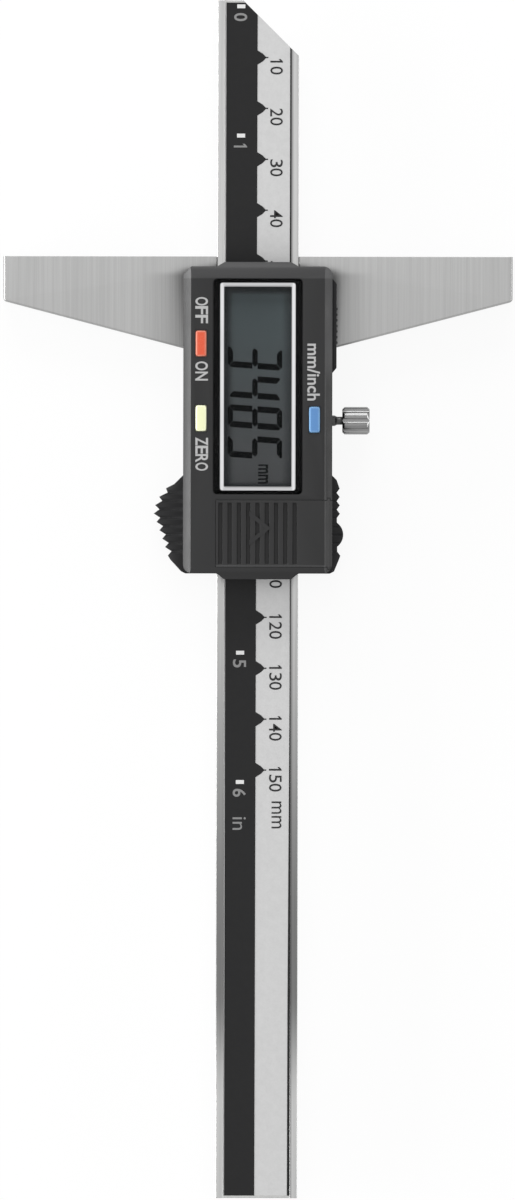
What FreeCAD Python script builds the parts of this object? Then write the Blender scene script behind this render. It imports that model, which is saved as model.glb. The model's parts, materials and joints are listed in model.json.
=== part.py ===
import FreeCAD, Part
import math
import os

# A digital depth gauge lying on its back. Lengths are in millimetres.
# Z = 0 is the back of the gauge and +Z is the display side.
# Y = 0 is the measuring face of the base and +Y is where the rod comes out.
# X = 0 is the middle of the rod.

Vector = FreeCAD.Vector

# Driving dimensions of the rod
rod_width = 16.0
rod_thickness = 3.5
rod_length = 235.4
rod_extension = 50.4
tip_flat = 5.0
tip_bevel = math.radians(45.0)

# Driving dimensions of the scale in the rod's groove
scale_width = 12.9
groove_gap = 0.05
strip_thickness = 0.5
label_thickness = 0.15
label_sink = 0.1
scale_end_gap = 0.5
scale_bevel_gap = 0.05

# Driving dimensions of the measuring base
base_length = 100.0
arm_height = 8.76
arm_slope = math.radians(14.65)
arm_corner = 0.7
base_edge = 0.3
slot_gap = 0.15

# Driving dimensions of the slider frame and its gib
back_wall = 1.8
frame_back = 1.6
frame_side = 4.45
lip_thickness = 0.6
lip_reach = 1.1
running_gap = 0.05
seat_gap = 0.05
gib_thickness = 0.8
gib_play = 0.15

# Driving dimensions of the display housing
shell_wall = 1.3
housing_setback = 2.06
front_tongue = 0.86
rear_tongue = 1.13
tongue_root_half = 8.0
front_nose_half = 6.5
rear_nose_half = 6.6
tongue_foot_share = 1.0
tongue_nose_share = 0.7
corner_chamfer = 1.6
corner_radius = 1.8
housing_bevel = 1.5
end_slope_run = 2.3
end_slope_drop = 0.7
end_wall = 1.28
window_margin = 2.36
window_length = 42.38
window_corner = 0.9
window_half_width = 8.8
window_thickness = 1.2
window_recess = 0.5
window_gap = 0.1
mask_thickness = 0.1
ledge_thickness = 0.8
boss_radius = 1.8

# Driving dimensions of the display
bezel_inset = 1.4
bezel_front_inset = 0.87
bezel_rear_inset = 0.8
bezel_width = 0.76
bezel_height = 0.25
bezel_corner = 0.5
lcd_thickness = 1.8
lcd_inset = 0.75
zebra_width = 0.9
zebra_end_inset = 3.0

# Driving dimensions of the circuit board
board_thickness = 1.0
board_gap = 0.2
chip_radius = 4.2
chip_height = 1.3
contact_pad_count = 4
contact_pad_width = 1.6
contact_pad_length = 1.2
contact_pad_thickness = 0.2
contact_pad_pitch = 3.2

# Driving dimensions of the buttons and their switches
button_width = 2.1
button_length = 5.1
button_proud = 0.45
button_gap = 0.08
button_flange = 0.5
button_flange_thickness = 0.55
button_edge = 0.35
button_offset = 2.33
button_post_radius = 0.9
power_button_inset = 15.15
zero_button_inset = 29.8
unit_button_inset = 30.05
switch_width = 3.0
switch_length = 4.4
switch_height = 1.8
stem_radius = 0.7
stem_proud = 0.6
stem_gap = 0.05
stem_well = 1.2
stem_root = 0.6

# Driving dimensions of the battery and its cover
battery_radius = 5.8
battery_height = 5.4
battery_x = 0.8
battery_gap = 0.05
well_gap = 0.3
minus_contact_radius = 4.0
minus_contact_height = 0.3
plus_contact_thickness = 0.3
plus_contact_width = 4.0
plus_contact_foot = 1.6
cover_wall = 1.1
cover_length = 13.1
cover_reach = 9.0
cover_thickness = 1.15
cover_gap = 0.05
cover_rail = 0.45
cover_rail_thickness = 0.5
cover_skirt = 3.2
rib_count = 9
rib_pitch = 1.82
rib_groove = 0.8
rib_depth = 0.4
rib_end_gap = 0.55

# Driving dimensions of the data port and its cover
port_inset = 2.34
port_length = 18.5
port_cover_width = 4.4
port_cover_proud = 0.83
port_cover_edge = 1.0
port_neck = 0.4
port_neck_width = 2.8
port_rail = 0.4
port_rail_width = 3.7
port_low_wall = 0.85
port_gap = 0.05
port_opening_width = 2.0
port_opening_inset = 1.5

# Driving dimensions of the rear cover and its thumb rests
side_wall = 2.02
side_gap = 0.1
cover_joint = 0.1
cover_end_slot_gap = 0.2
back_bevel = 0.6
rest_start = 40.9
rest_ramp = 1.75
rest_first_tooth = 2.6
rest_pitch = 1.65
rest_teeth = 9
rest_peak_tooth = 3
tooth_depth = 1.0
left_rest_reach = 5.8
left_rest_front_drop = 2.4
left_rest_rear_drop = 0.56
left_rest_slope = 2.2
left_rest_back_slope = 1.0
right_rest_reach = 1.5
right_rest_drop = 0.02
right_tooth_depth = 0.6
right_rest_slope = 0.7
right_rest_back_slope = 0.5
rest_line_depth = 0.35
rest_line_width = 0.8
rest_end = 0.42
lobe_radius = 2.9
lobe_reach = 2.22
lobe_tooth = 5.5
lobe_teeth = 1.6

# Driving dimensions of the lock screw and its pad
lock_inset = 30.15
lock_shank_radius = 1.05
lock_neck_radius = 0.8
lock_collar = 0.5
lock_taper = 0.45
lock_neck = 1.05
knob_radius = 2.75
knob_length = 5.35
knob_edge = 0.45
flute_count = 8
flute_radius = 0.6
flute_depth = 0.4
pad_radius = 0.9
pad_length = 1.2
pad_gap = 0.1
lock_wall_gap = 0.15

# Driving dimensions of the screws
base_screw_radius = 1.25
base_screw_head = 2.3
base_screw_bite = 3.6
housing_screw_radius = 1.0
housing_screw_head = 1.8
housing_screw_bite = 3.0
board_screw_radius = 0.8
board_screw_head = 1.4
board_screw_head_height = 0.8
board_screw_bite = 3.0
gib_screw_radius = 1.0
gib_screw_length = 3.0
stop_screw_radius = 0.8
stop_screw_head = 1.5
stop_screw_head_height = 1.0
stop_screw_bite = 2.0
stop_screw_inset = 21.4
screw_clearance = 0.1
head_sink = 0.1
rear_screw_inset = 5.2
board_screw_inset = 3.2
gib_screw_lead = 3.15
gib_screw_spacing = 25.5
drive_width_share = 0.3
drive_reach_share = 0.6
drive_depth_share = 0.5

# One overrun serves every cut
overrun = 1.0

# Heights worked out from the back to the display
frame_z = back_wall
floor_z = frame_z + frame_back
rod_z = floor_z + running_gap
rod_top_z = rod_z + rod_thickness
split_z = rod_top_z + running_gap
board_z = split_z + lip_thickness
board_top_z = board_z + board_thickness
battery_z = board_top_z + minus_contact_height
cover_z = battery_z + battery_height + battery_gap
front_z = cover_z + cover_thickness
window_top_z = front_z - window_recess
window_z = window_top_z - window_thickness
mask_z = window_z - mask_thickness
ceiling_z = mask_z - ledge_thickness
lcd_z = ceiling_z - lcd_thickness
rod_middle_z = rod_z + rod_thickness / 2
groove_depth = label_sink + label_thickness + strip_thickness
strip_z = rod_top_z - groove_depth
label_z = strip_z + strip_thickness

# Half widths worked out from the rod outwards
rod_half = rod_width / 2
channel_half = rod_half + running_gap
gib_wall_x = channel_half + gib_thickness + gib_play
frame_half = channel_half + frame_side
pocket_half = frame_half + side_gap
housing_half = pocket_half + side_wall
cavity_half = housing_half - shell_wall
board_half = cavity_half - board_gap
base_half = base_length / 2
screw_x = (gib_wall_x + frame_half) / 2
bezel_half = window_half_width - bezel_inset
view_half = bezel_half - bezel_width
lcd_half = window_half_width - lcd_inset
button_x = window_half_width + button_offset
cover_left_x = battery_x - cover_reach

# Places along the rod worked out from the measuring face backwards
rod_tip_y = rod_extension
rod_end_y = rod_tip_y - rod_length
housing_front_y = -housing_setback
window_front_y = housing_front_y - window_margin
window_rear_y = window_front_y - window_length
cover_front_y = window_rear_y - cover_wall
cover_rear_y = cover_front_y - cover_length
housing_rear_y = cover_rear_y - end_wall
cavity_front_y = housing_front_y - shell_wall
cavity_rear_y = cover_rear_y
frame_front_y = cavity_front_y - seat_gap
frame_rear_y = cavity_rear_y + seat_gap
base_depth = arm_height + (base_half - housing_half) * math.tan(arm_slope)
rear_cover_front_y = -base_depth - cover_joint
battery_y = (cover_front_y + cover_rear_y) / 2
bezel_front_y = window_front_y - bezel_front_inset
bezel_rear_y = window_rear_y + bezel_rear_inset
view_front_y = bezel_front_y - bezel_width
view_rear_y = bezel_rear_y + bezel_width
lcd_front_y = window_front_y - lcd_inset
lcd_rear_y = window_rear_y + lcd_inset
power_y = housing_front_y - power_button_inset
zero_y = housing_front_y - zero_button_inset
unit_y = housing_front_y - unit_button_inset
lock_y = housing_front_y - lock_inset
base_screw_y = (frame_front_y - base_depth) / 2
front_screw_y = (power_y + zero_y) / 2
rear_screw_y = housing_rear_y + rear_screw_inset
board_screw_front_y = cavity_front_y - board_screw_inset
board_screw_rear_y = cover_front_y - board_screw_inset
gib_screw_front_y = front_screw_y + gib_screw_lead
gib_screw_rear_y = gib_screw_front_y - gib_screw_spacing
port_front_y = housing_front_y - port_inset
port_rear_y = port_front_y - port_length
port_z = split_z + port_low_wall + port_rail_width / 2
stop_y = rod_end_y + stop_screw_inset


def box(x_low, x_high, y_low, y_high, z_low, z_high):
    """Return a block between two corners."""
    corner = Vector(x_low, y_low, z_low)
    return Part.makeBox(x_high - x_low, y_high - y_low, z_high - z_low, corner)


def post(radius, x, y, z_low, z_high):
    """Return a cylinder that stands along Z."""
    return Part.makeCylinder(radius, z_high - z_low, Vector(x, y, z_low), Vector(0, 0, 1))


def bar(radius, x_low, x_high, y, z):
    """Return a cylinder that lies along X."""
    return Part.makeCylinder(radius, x_high - x_low, Vector(x_low, y, z), Vector(1, 0, 0))


def cone(low_radius, high_radius, x, y, z_low, z_high):
    """Return a cone that stands along Z."""
    return Part.makeCone(low_radius, high_radius, z_high - z_low, Vector(x, y, z_low), Vector(0, 0, 1))


def face_of(points):
    """Return the flat face inside a closed run of corners."""
    return Part.Face(Part.makePolygon(points + points[:1]))


def plan_prism(outline, z_low, z_high):
    """Return a solid raised along Z from corners given as (x, y)."""
    face = face_of([Vector(x, y, z_low) for x, y in outline])
    return face.extrude(Vector(0, 0, z_high - z_low))


def cross_prism(outline, y_low, y_high):
    """Return a solid drawn along Y from corners given as (x, z)."""
    face = face_of([Vector(x, y_low, z) for x, z in outline])
    return face.extrude(Vector(0, y_high - y_low, 0))


def corner_arc(before, corner, after, radius):
    """Return where a rounded corner starts, its middle and where it ends."""
    back = (before - corner).normalize()
    ahead = (after - corner).normalize()
    half = back.getAngle(ahead) / 2
    run = radius / math.tan(half)
    bisector = (back + ahead).normalize()
    centre = corner + bisector * (radius / math.sin(half))
    return corner + back * run, centre - bisector * radius, corner + ahead * run


def rounded_prism(outline, z_low, z_high):
    """Return a solid raised along Z from corners given as (x, y, radius)."""
    corners = [Vector(x, y, z_low) for x, y, radius in outline]
    radii = [radius for x, y, radius in outline]
    edges = []
    ends = []
    for place, corner in enumerate(corners):
        before = corners[place - 1]
        after = corners[(place + 1) % len(corners)]
        if radii[place]:
            start, middle, end = corner_arc(before, corner, after, radii[place])
            edges.append(Part.Arc(start, middle, end).toShape())
            ends.append((start, end))
        else:
            ends.append((corner, corner))
    for place, (start, end) in enumerate(ends):
        next_start = ends[(place + 1) % len(ends)][0]
        edges.append(Part.makeLine(end, next_start))
    wire = Part.Wire(Part.__sortEdges__(edges))
    return Part.Face(wire).extrude(Vector(0, 0, z_high - z_low))


def mirrored(shape):
    """Return a copy on the other side of the rod."""
    return shape.mirror(Vector(0, 0, 0), Vector(1, 0, 0))


def joined(shapes):
    """Return one solid made of several that meet."""
    return shapes[0].multiFuse(shapes[1:]).removeSplitter()


def cross_drive(x, y, z_low, z_high, reach, width):
    """Return the cross-shaped recess that a screwdriver turns."""
    along = box(x - reach, x + reach, y - width / 2, y + width / 2, z_low, z_high)
    across = box(x - width / 2, x + width / 2, y - reach, y + reach, z_low, z_high)
    return along.fuse(across)


def countersunk_screw(x, y, radius, head, z_end):
    """Return a countersunk screw whose head lies just under the back and whose shank runs up."""
    cone_top = head_sink + head - radius
    shank = post(radius, x, y, cone_top, z_end)
    screw = cone(head, radius, x, y, head_sink, cone_top).fuse(shank)
    depth = (head - radius) * drive_depth_share
    reach = head * drive_reach_share
    drive = cross_drive(x, y, head_sink - overrun, head_sink + depth, reach, head * drive_width_share)
    return screw.cut(drive).removeSplitter()


def countersink(x, y, radius, head, z_end):
    """Return the hole that takes a countersunk screw from the back."""
    wide = head + screw_clearance
    cone_top = head_sink + head - radius
    mouth = post(wide, x, y, -overrun, head_sink)
    seat = cone(wide, radius + screw_clearance, x, y, head_sink, cone_top)
    way = post(radius + screw_clearance, x, y, cone_top, z_end)
    return mouth.fuse([seat, way])


def screw_places(y_places):
    """Return the left and right place of a screw at each distance along the rod."""
    return [(side * screw_x, y) for y in y_places for side in (-1, 1)]


def rod_outline(side_inset, end_inset, bevel_inset):
    """Return the plan outline of the rod or of what lies on it, drawn in from its edges."""
    half = rod_half - side_inset
    tip = rod_tip_y - end_inset
    end = rod_end_y + end_inset
    bevel_shift = (end_inset - bevel_inset / math.cos(tip_bevel)) / math.tan(tip_bevel)
    bevel_x = -rod_half + tip_flat + bevel_shift
    shoulder = tip - (half - bevel_x) * math.tan(tip_bevel)
    return [(-half, end), (half, end), (half, shoulder), (bevel_x, tip), (-half, tip)]


def depth_rod():
    """Return the steel rod with its bevelled tip, its groove and the hole of the stop screw."""
    blade = plan_prism(rod_outline(0, 0, 0), rod_z, rod_top_z)
    groove_half = scale_width / 2 + groove_gap
    low_y = rod_end_y - overrun
    groove = box(-groove_half, groove_half, low_y, rod_tip_y + overrun, strip_z, rod_top_z + overrun)
    hole = post(stop_screw_radius, 0, stop_y, rod_z, rod_z + stop_screw_bite)
    return blade.cut(groove).cut(hole)


def scale_layer(z_low, z_high):
    """Return one layer of the scale in the groove."""
    side_inset = (rod_width - scale_width) / 2
    return plan_prism(rod_outline(side_inset, scale_end_gap, scale_bevel_gap), z_low, z_high)


def rod_stop_screw():
    """Return the pan-head screw in the back of the rod."""
    head_z = rod_z - stop_screw_head_height
    head = post(stop_screw_head, 0, stop_y, head_z, rod_z)
    shank = post(stop_screw_radius, 0, stop_y, rod_z, rod_z + stop_screw_bite)
    depth = stop_screw_head_height * drive_depth_share
    reach = stop_screw_head * drive_reach_share
    width = stop_screw_head * drive_width_share
    drive = cross_drive(0, stop_y, head_z - overrun, head_z + depth, reach, width)
    return head.fuse(shank).cut(drive).removeSplitter()


def measuring_base():
    """Return the steel base with the slot of the rod and the pocket of the slider frame."""
    outline = [(-base_half, 0, 0), (base_half, 0, 0), (base_half, -arm_height, arm_corner)]
    outline += [(housing_half, -base_depth, 0), (-housing_half, -base_depth, 0)]
    outline += [(-base_half, -arm_height, arm_corner)]
    block = rounded_prism(outline, 0, split_z)
    arm_edges = [edge for edge in block.Edges if is_arm_edge(edge)]
    block = block.makeChamfer(base_edge, arm_edges)
    slot_half = rod_half + slot_gap
    slot = box(-slot_half, slot_half, -base_depth - overrun, overrun, rod_z - slot_gap, split_z + overrun)
    pocket = box(-pocket_half, pocket_half, -base_depth - overrun, cavity_front_y, frame_z, split_z + overrun)
    block = block.cut(slot).cut(pocket)
    for x, y in screw_places([base_screw_y]):
        block = block.cut(countersink(x, y, base_screw_radius, base_screw_head, frame_z + overrun))
    return block


def is_arm_edge(edge):
    """Return whether an edge of the base runs behind the measuring face, where it is broken."""
    low = min(vertex.Y for vertex in edge.Vertexes)
    level = abs(edge.Vertexes[0].Z - edge.Vertexes[-1].Z) < seat_gap
    outside = max(abs(vertex.X) for vertex in edge.Vertexes) > housing_half + seat_gap
    return level and outside and low < -seat_gap


def slider_frame():
    """Return the steel channel that guides the rod, with its two lips and its screw holes."""
    outline = [(-frame_half, frame_z), (frame_half, frame_z), (frame_half, board_z)]
    lip_x = channel_half - lip_reach
    outline += [(lip_x, board_z), (lip_x, split_z), (gib_wall_x, split_z), (gib_wall_x, floor_z)]
    outline += [(-channel_half, floor_z), (-channel_half, split_z), (-lip_x, split_z)]
    outline += [(-lip_x, board_z), (-frame_half, board_z)]
    frame = cross_prism(outline, frame_rear_y, frame_front_y)
    holes = []
    for x, y in screw_places([base_screw_y]):
        holes.append(post(base_screw_radius, x, y, frame_z, frame_z + base_screw_bite))
    way = housing_screw_radius + screw_clearance
    for x, y in screw_places([front_screw_y, rear_screw_y]):
        holes.append(post(way, x, y, frame_z - overrun, board_z + overrun))
    for x, y in screw_places([board_screw_front_y, board_screw_rear_y]):
        holes.append(post(board_screw_radius, x, y, board_z - board_screw_bite, board_z))
    for y in (gib_screw_front_y, gib_screw_rear_y):
        holes.append(bar(gib_screw_radius, gib_wall_x - seat_gap, frame_half + overrun, y, rod_middle_z))
    lock_hole = lock_shank_radius + running_gap
    holes.append(bar(lock_hole, gib_wall_x - seat_gap, frame_half + overrun, lock_y, rod_middle_z))
    for hole in holes:
        frame = frame.cut(hole)
    return frame


def gib_strip():
    """Return the thin strip between the rod and the set screws, with the window of the lock pad."""
    high = split_z - running_gap
    strip = box(channel_half, channel_half + gib_thickness, frame_rear_y, frame_front_y, rod_z, high)
    window = bar(pad_radius + running_gap, rod_half, gib_wall_x, lock_y, rod_middle_z)
    return strip.cut(window)


def gib_screws():
    """Return the two grub screws that press on the gib."""
    start = channel_half + gib_thickness
    screws = []
    for y in (gib_screw_front_y, gib_screw_rear_y):
        body = bar(gib_screw_radius, start, start + gib_screw_length, y, rod_middle_z)
        depth = gib_screw_length * drive_depth_share
        slot_x = start + gib_screw_length - depth
        width = gib_screw_radius * drive_width_share
        z_low = rod_middle_z - gib_screw_radius
        z_high = rod_middle_z + gib_screw_radius
        slot = box(slot_x, start + gib_screw_length + overrun, y - width, y + width, z_low, z_high)
        screws.append(body.cut(slot))
    return Part.Compound(screws)


def base_screws():
    """Return the two screws that join the base to the slider frame."""
    end = frame_z + base_screw_bite
    places = screw_places([base_screw_y])
    radius = base_screw_radius
    return Part.Compound([countersunk_screw(x, y, radius, base_screw_head, end) for x, y in places])


def housing_screws():
    """Return the four screws that hold the display housing from the back."""
    end = board_top_z + housing_screw_bite
    places = screw_places([front_screw_y, rear_screw_y])
    radius = housing_screw_radius
    return Part.Compound([countersunk_screw(x, y, radius, housing_screw_head, end) for x, y in places])


def board_screws():
    """Return the four pan-head screws that hold the board on the frame."""
    screws = []
    for x, y in screw_places([board_screw_front_y, board_screw_rear_y]):
        top = board_top_z + board_screw_head_height
        head = post(board_screw_head, x, y, board_top_z, top)
        shank = post(board_screw_radius, x, y, board_z - board_screw_bite, board_top_z)
        depth = board_screw_head_height * drive_depth_share
        reach = board_screw_head * drive_reach_share
        width = board_screw_head * drive_width_share
        drive = cross_drive(x, y, top - depth, top + overrun, reach, width)
        screws.append(head.fuse(shank).cut(drive).removeSplitter())
    return Part.Compound(screws)


def end_slopes(low_y, high_y, z_low):
    """Return the block that the display side lies in, with a rounded slope down to each end."""
    x = -housing_half
    edge_z = front_z - end_slope_drop
    radius = (end_slope_run ** 2 + end_slope_drop ** 2) / (2 * end_slope_drop)
    half_turn = math.asin(end_slope_run / radius) / 2
    middle_z = front_z - radius + radius * math.cos(half_turn)
    rear_top = low_y + end_slope_run
    front_top = high_y - end_slope_run
    reach = radius * math.sin(half_turn)
    rear_slope = [Vector(x, low_y, edge_z), Vector(x, rear_top - reach, middle_z)]
    rear_slope.append(Vector(x, rear_top, front_z))
    front_slope = [Vector(x, high_y, edge_z), Vector(x, front_top + reach, middle_z)]
    front_slope.append(Vector(x, front_top, front_z))
    edges = [Part.Arc(*rear_slope).toShape(), Part.Arc(*front_slope).toShape()]
    edges.append(Part.makeLine(rear_slope[-1], front_slope[-1]))
    edges.append(Part.makeLine(front_slope[0], Vector(x, high_y, z_low)))
    edges.append(Part.makeLine(Vector(x, high_y, z_low), Vector(x, low_y, z_low)))
    edges.append(Part.makeLine(Vector(x, low_y, z_low), rear_slope[0]))
    wire = Part.Wire(Part.__sortEdges__(edges))
    return Part.Face(wire).extrude(Vector(2 * housing_half, 0, 0))


def housing_envelope(z_low):
    """Return the outer form of the display side, which the battery cover shares."""
    front = housing_front_y
    rear = housing_rear_y
    half = housing_half
    foot = tongue_foot_share * front_tongue
    nose = tongue_nose_share * front_tongue
    rear_foot = tongue_foot_share * rear_tongue
    rear_nose = tongue_nose_share * rear_tongue
    root = tongue_root_half
    outline = [(-half, front - corner_chamfer, 0), (-half, rear, corner_radius)]
    outline += [(-root, rear, rear_foot), (-rear_nose_half, rear - rear_tongue, rear_nose)]
    outline += [(rear_nose_half, rear - rear_tongue, rear_nose), (root, rear, rear_foot)]
    outline += [(half, rear, corner_radius), (half, front, corner_radius)]
    outline += [(root, front, foot), (front_nose_half, front + front_tongue, nose)]
    outline += [(-front_nose_half, front + front_tongue, nose), (-root, front, foot)]
    outline += [(-half + corner_chamfer, front, 0)]
    body = rounded_prism(outline, z_low, front_z)
    shoulder = front_z - housing_bevel
    cross = [(-half, z_low), (half, z_low), (half, shoulder), (half - housing_bevel, front_z)]
    cross += [(-half + housing_bevel, front_z), (-half, shoulder)]
    low_y = rear - rear_tongue
    high_y = front + front_tongue
    body = body.common(cross_prism(cross, low_y, high_y))
    return body.common(end_slopes(low_y, high_y, z_low))


def cover_space(gap):
    """Return the room of the battery cover, or the cover's own blank when the gap is nought."""
    front = cover_front_y + gap
    rear = cover_rear_y - gap
    left = cover_left_x - gap
    right = housing_half + overrun
    plate = box(left, right, rear, front, cover_z - gap, front_z + overrun)
    rail_top = cover_z + cover_rail_thickness + gap
    rails = box(left, right, rear - cover_rail, front + cover_rail, cover_z - gap, rail_top)
    skirt_low = front_z - cover_skirt - gap
    skirt = box(cavity_half - gap, right, rear, front, skirt_low, front_z + overrun)
    return joined([plate, rails, skirt])


def port_groove():
    """Return the groove of the data port cover and the opening behind it."""
    rail_x = housing_half - port_neck - port_rail
    rail_half = port_rail_width / 2
    neck_half = port_neck_width / 2
    groove_rear = port_rear_y
    rail = box(rail_x, housing_half - port_neck, groove_rear, overrun, port_z - rail_half, port_z + rail_half)
    neck = box(rail_x, housing_half + overrun, groove_rear, overrun, port_z - neck_half, port_z + neck_half)
    front = port_front_y - port_opening_inset
    rear = port_rear_y + port_opening_inset
    half = port_opening_width / 2
    opening = box(cavity_half - overrun, housing_half, rear, front, port_z - half, port_z + half)
    return rail.fuse([neck, opening])


def button_places():
    """Return the name, the place and the side of each button."""
    return [("power", -button_x, power_y), ("zero", -button_x, zero_y), ("unit", button_x, unit_y)]


def front_housing():
    """Return the moulded display housing with its window, slots, bosses and covers' seats."""
    body = housing_envelope(split_z)
    low_z = split_z - overrun
    body = body.cut(box(-cavity_half, cavity_half, cavity_rear_y, cavity_front_y, low_z, ceiling_z))
    body = body.cut(window_block(0, mask_z, front_z + overrun))
    body = body.cut(box(-view_half, view_half, view_rear_y, view_front_y, ceiling_z - overrun, front_z))
    for name, x, y in button_places():
        wide = button_width / 2 + button_gap
        long = button_length / 2 + button_gap
        body = body.cut(box(x - wide, x + wide, y - long, y + long, ceiling_z - overrun, front_z + overrun))
    body = body.cut(cover_space(cover_gap))
    well = battery_radius + well_gap
    body = body.cut(post(well, battery_x, battery_y, ceiling_z - overrun, cover_z + overrun))
    body = body.cut(port_groove())
    bosses = []
    for x, y in screw_places([front_screw_y, rear_screw_y]):
        bosses.append(post(boss_radius, x, y, board_top_z, ceiling_z))
    body = joined([body] + bosses)
    for x, y in screw_places([front_screw_y, rear_screw_y]):
        top = board_top_z + housing_screw_bite
        body = body.cut(post(housing_screw_radius, x, y, board_top_z - overrun, top))
    return body


def window_block(gap, z_low, z_high):
    """Return the block with rounded corners that fills the window, less a gap all round."""
    half = window_half_width - gap
    low_y = window_rear_y + gap
    high_y = window_front_y - gap
    outline = [(-half, low_y), (half, low_y), (half, high_y), (-half, high_y)]
    return rounded_prism([(x, y, window_corner - gap) for x, y in outline], z_low, z_high)


def window_mask():
    """Return the black printed film under the window, open over the display."""
    film = window_block(window_gap, mask_z, window_z)
    low_z = mask_z - overrun
    return film.cut(box(-view_half, view_half, view_rear_y, view_front_y, low_z, window_z + overrun))


def window_plate():
    """Return the clear plate that closes the display."""
    return window_block(window_gap, window_z, window_top_z)


def display_bezel():
    """Return the white line frame on the window."""
    top = window_top_z + bezel_height
    outline = [(-bezel_half, bezel_rear_y), (bezel_half, bezel_rear_y)]
    outline += [(bezel_half, bezel_front_y), (-bezel_half, bezel_front_y)]
    frame = rounded_prism([(x, y, bezel_corner) for x, y in outline], window_top_z, top)
    return frame.cut(box(-view_half, view_half, view_rear_y, view_front_y, mask_z, top + overrun))


def lcd_panel():
    """Return the display glass, with the lower pane wider than the upper for its contacts."""
    step_z = lcd_z + lcd_thickness / 2
    lower = box(-lcd_half, lcd_half, lcd_rear_y, lcd_front_y, lcd_z, step_z)
    upper_half = lcd_half - lcd_inset
    upper = box(-upper_half, upper_half, lcd_rear_y, lcd_front_y, step_z, ceiling_z)
    return joined([lower, upper])


def zebra_strips():
    """Return the two rubber strips between the board and the glass."""
    front = lcd_front_y - zebra_end_inset
    rear = lcd_rear_y + zebra_end_inset
    strip = box(lcd_half - zebra_width, lcd_half, rear, front, board_top_z, lcd_z)
    return Part.Compound([strip, mirrored(strip)])


def main_board():
    """Return the circuit board with the ways of the housing screws."""
    low_y = cavity_rear_y + board_gap
    board = box(-board_half, board_half, low_y, cavity_front_y - board_gap, board_z, board_top_z)
    for x, y in screw_places([front_screw_y, rear_screw_y]):
        way = post(housing_screw_radius + screw_clearance, x, y, board_z - overrun, board_top_z + overrun)
        board = board.cut(way)
    for x, y in screw_places([board_screw_front_y, board_screw_rear_y]):
        board = board.cut(post(board_screw_radius, x, y, board_z - overrun, board_top_z + overrun))
    return board


def chip_blob():
    """Return the drop of resin over the chip, a cap of a ball."""
    ball_radius = (chip_radius ** 2 + chip_height ** 2) / (2 * chip_height)
    middle_y = (lcd_front_y + lcd_rear_y) / 2
    ball = Part.makeSphere(ball_radius, Vector(0, middle_y, board_top_z + chip_height - ball_radius))
    reach = chip_radius + overrun
    return ball.common(box(-reach, reach, middle_y - reach, middle_y + reach, board_top_z, ceiling_z))


def switch_bodies():
    """Return the three tact switches, each with the well of its stem."""
    bodies = []
    for name, x, y in button_places():
        half_x = switch_width / 2
        half_y = switch_length / 2
        top = board_top_z + switch_height
        body = box(x - half_x, x + half_x, y - half_y, y + half_y, board_top_z, top)
        bodies.append(body.cut(post(stem_radius + stem_gap, x, y, top - stem_well, top + overrun)))
    return Part.Compound(bodies)


def switch_stem(x, y):
    """Return the stem of one tact switch."""
    top = board_top_z + switch_height
    return post(stem_radius, x, y, top - stem_root, top + stem_proud)


def button(x, y):
    """Return one button cap with its inner flange and the post that meets the switch."""
    half_x = button_width / 2
    half_y = button_length / 2
    flange_top = ceiling_z - button_gap
    flange_low = flange_top - button_flange_thickness
    top = front_z + button_proud
    cap = box(x - half_x, x + half_x, y - half_y, y + half_y, flange_low, top)
    top_edges = [edge for edge in cap.Edges if edge.BoundBox.ZMin > top - button_edge]
    cap = cap.makeFillet(button_edge, top_edges)
    wide = half_x + button_flange
    long = half_y + button_flange
    flange = box(x - wide, x + wide, y - long, y + long, flange_low, flange_top)
    foot = post(button_post_radius, x, y, board_top_z + switch_height + stem_proud, flange_low)
    return joined([cap, flange, foot])


def data_contacts():
    """Return the gold pads at the edge of the board behind the data port."""
    middle = (port_front_y + port_rear_y) / 2
    first = middle + contact_pad_pitch * (contact_pad_count - 1) / 2
    pads = []
    for place in range(contact_pad_count):
        y = first - place * contact_pad_pitch
        low_x = board_half - contact_pad_length
        top = board_top_z + contact_pad_thickness
        half = contact_pad_width / 2
        pads.append(box(low_x, board_half, y - half, y + half, board_top_z, top))
    return Part.Compound(pads)


def battery_cell():
    """Return the button cell, a can with the narrower cap of its other pole below."""
    rim = battery_height / 3
    inner = minus_contact_radius + minus_contact_height
    cap = post(inner, battery_x, battery_y, battery_z, battery_z + rim)
    can = post(battery_radius, battery_x, battery_y, battery_z + rim / 3, battery_z + battery_height)
    return joined([can, cap])


def battery_minus_contact():
    """Return the spring disc on the board under the cell."""
    disc = post(minus_contact_radius, battery_x, battery_y, board_top_z, battery_z)
    hole = minus_contact_radius / 2
    return disc.cut(post(hole, battery_x, battery_y, board_top_z - overrun, battery_z + overrun))


def battery_plus_contact():
    """Return the spring clip that touches the side of the cell."""
    touch_x = battery_x - battery_radius
    half = plus_contact_width / 2
    clip_x = touch_x - plus_contact_thickness
    clip = box(clip_x, touch_x, battery_y - half, battery_y + half, board_top_z, ceiling_z - battery_gap)
    foot_top = board_top_z + plus_contact_thickness
    foot = box(clip_x - plus_contact_foot, touch_x, battery_y - half, battery_y + half, board_top_z, foot_top)
    return joined([clip, foot])


def battery_cover():
    """Return the ribbed sliding cover of the battery."""
    cover = cover_space(0).common(housing_envelope(split_z))
    first = -rib_pitch * (rib_count - 1) / 2
    low_y = cover_rear_y + rib_end_gap
    high_y = cover_front_y - rib_end_gap
    for place in range(rib_count):
        x = first + place * rib_pitch
        half = rib_groove / 2
        groove = box(x - half, x + half, low_y, high_y, front_z - rib_depth, front_z + overrun)
        cover = cover.cut(groove)
    return cover


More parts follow.
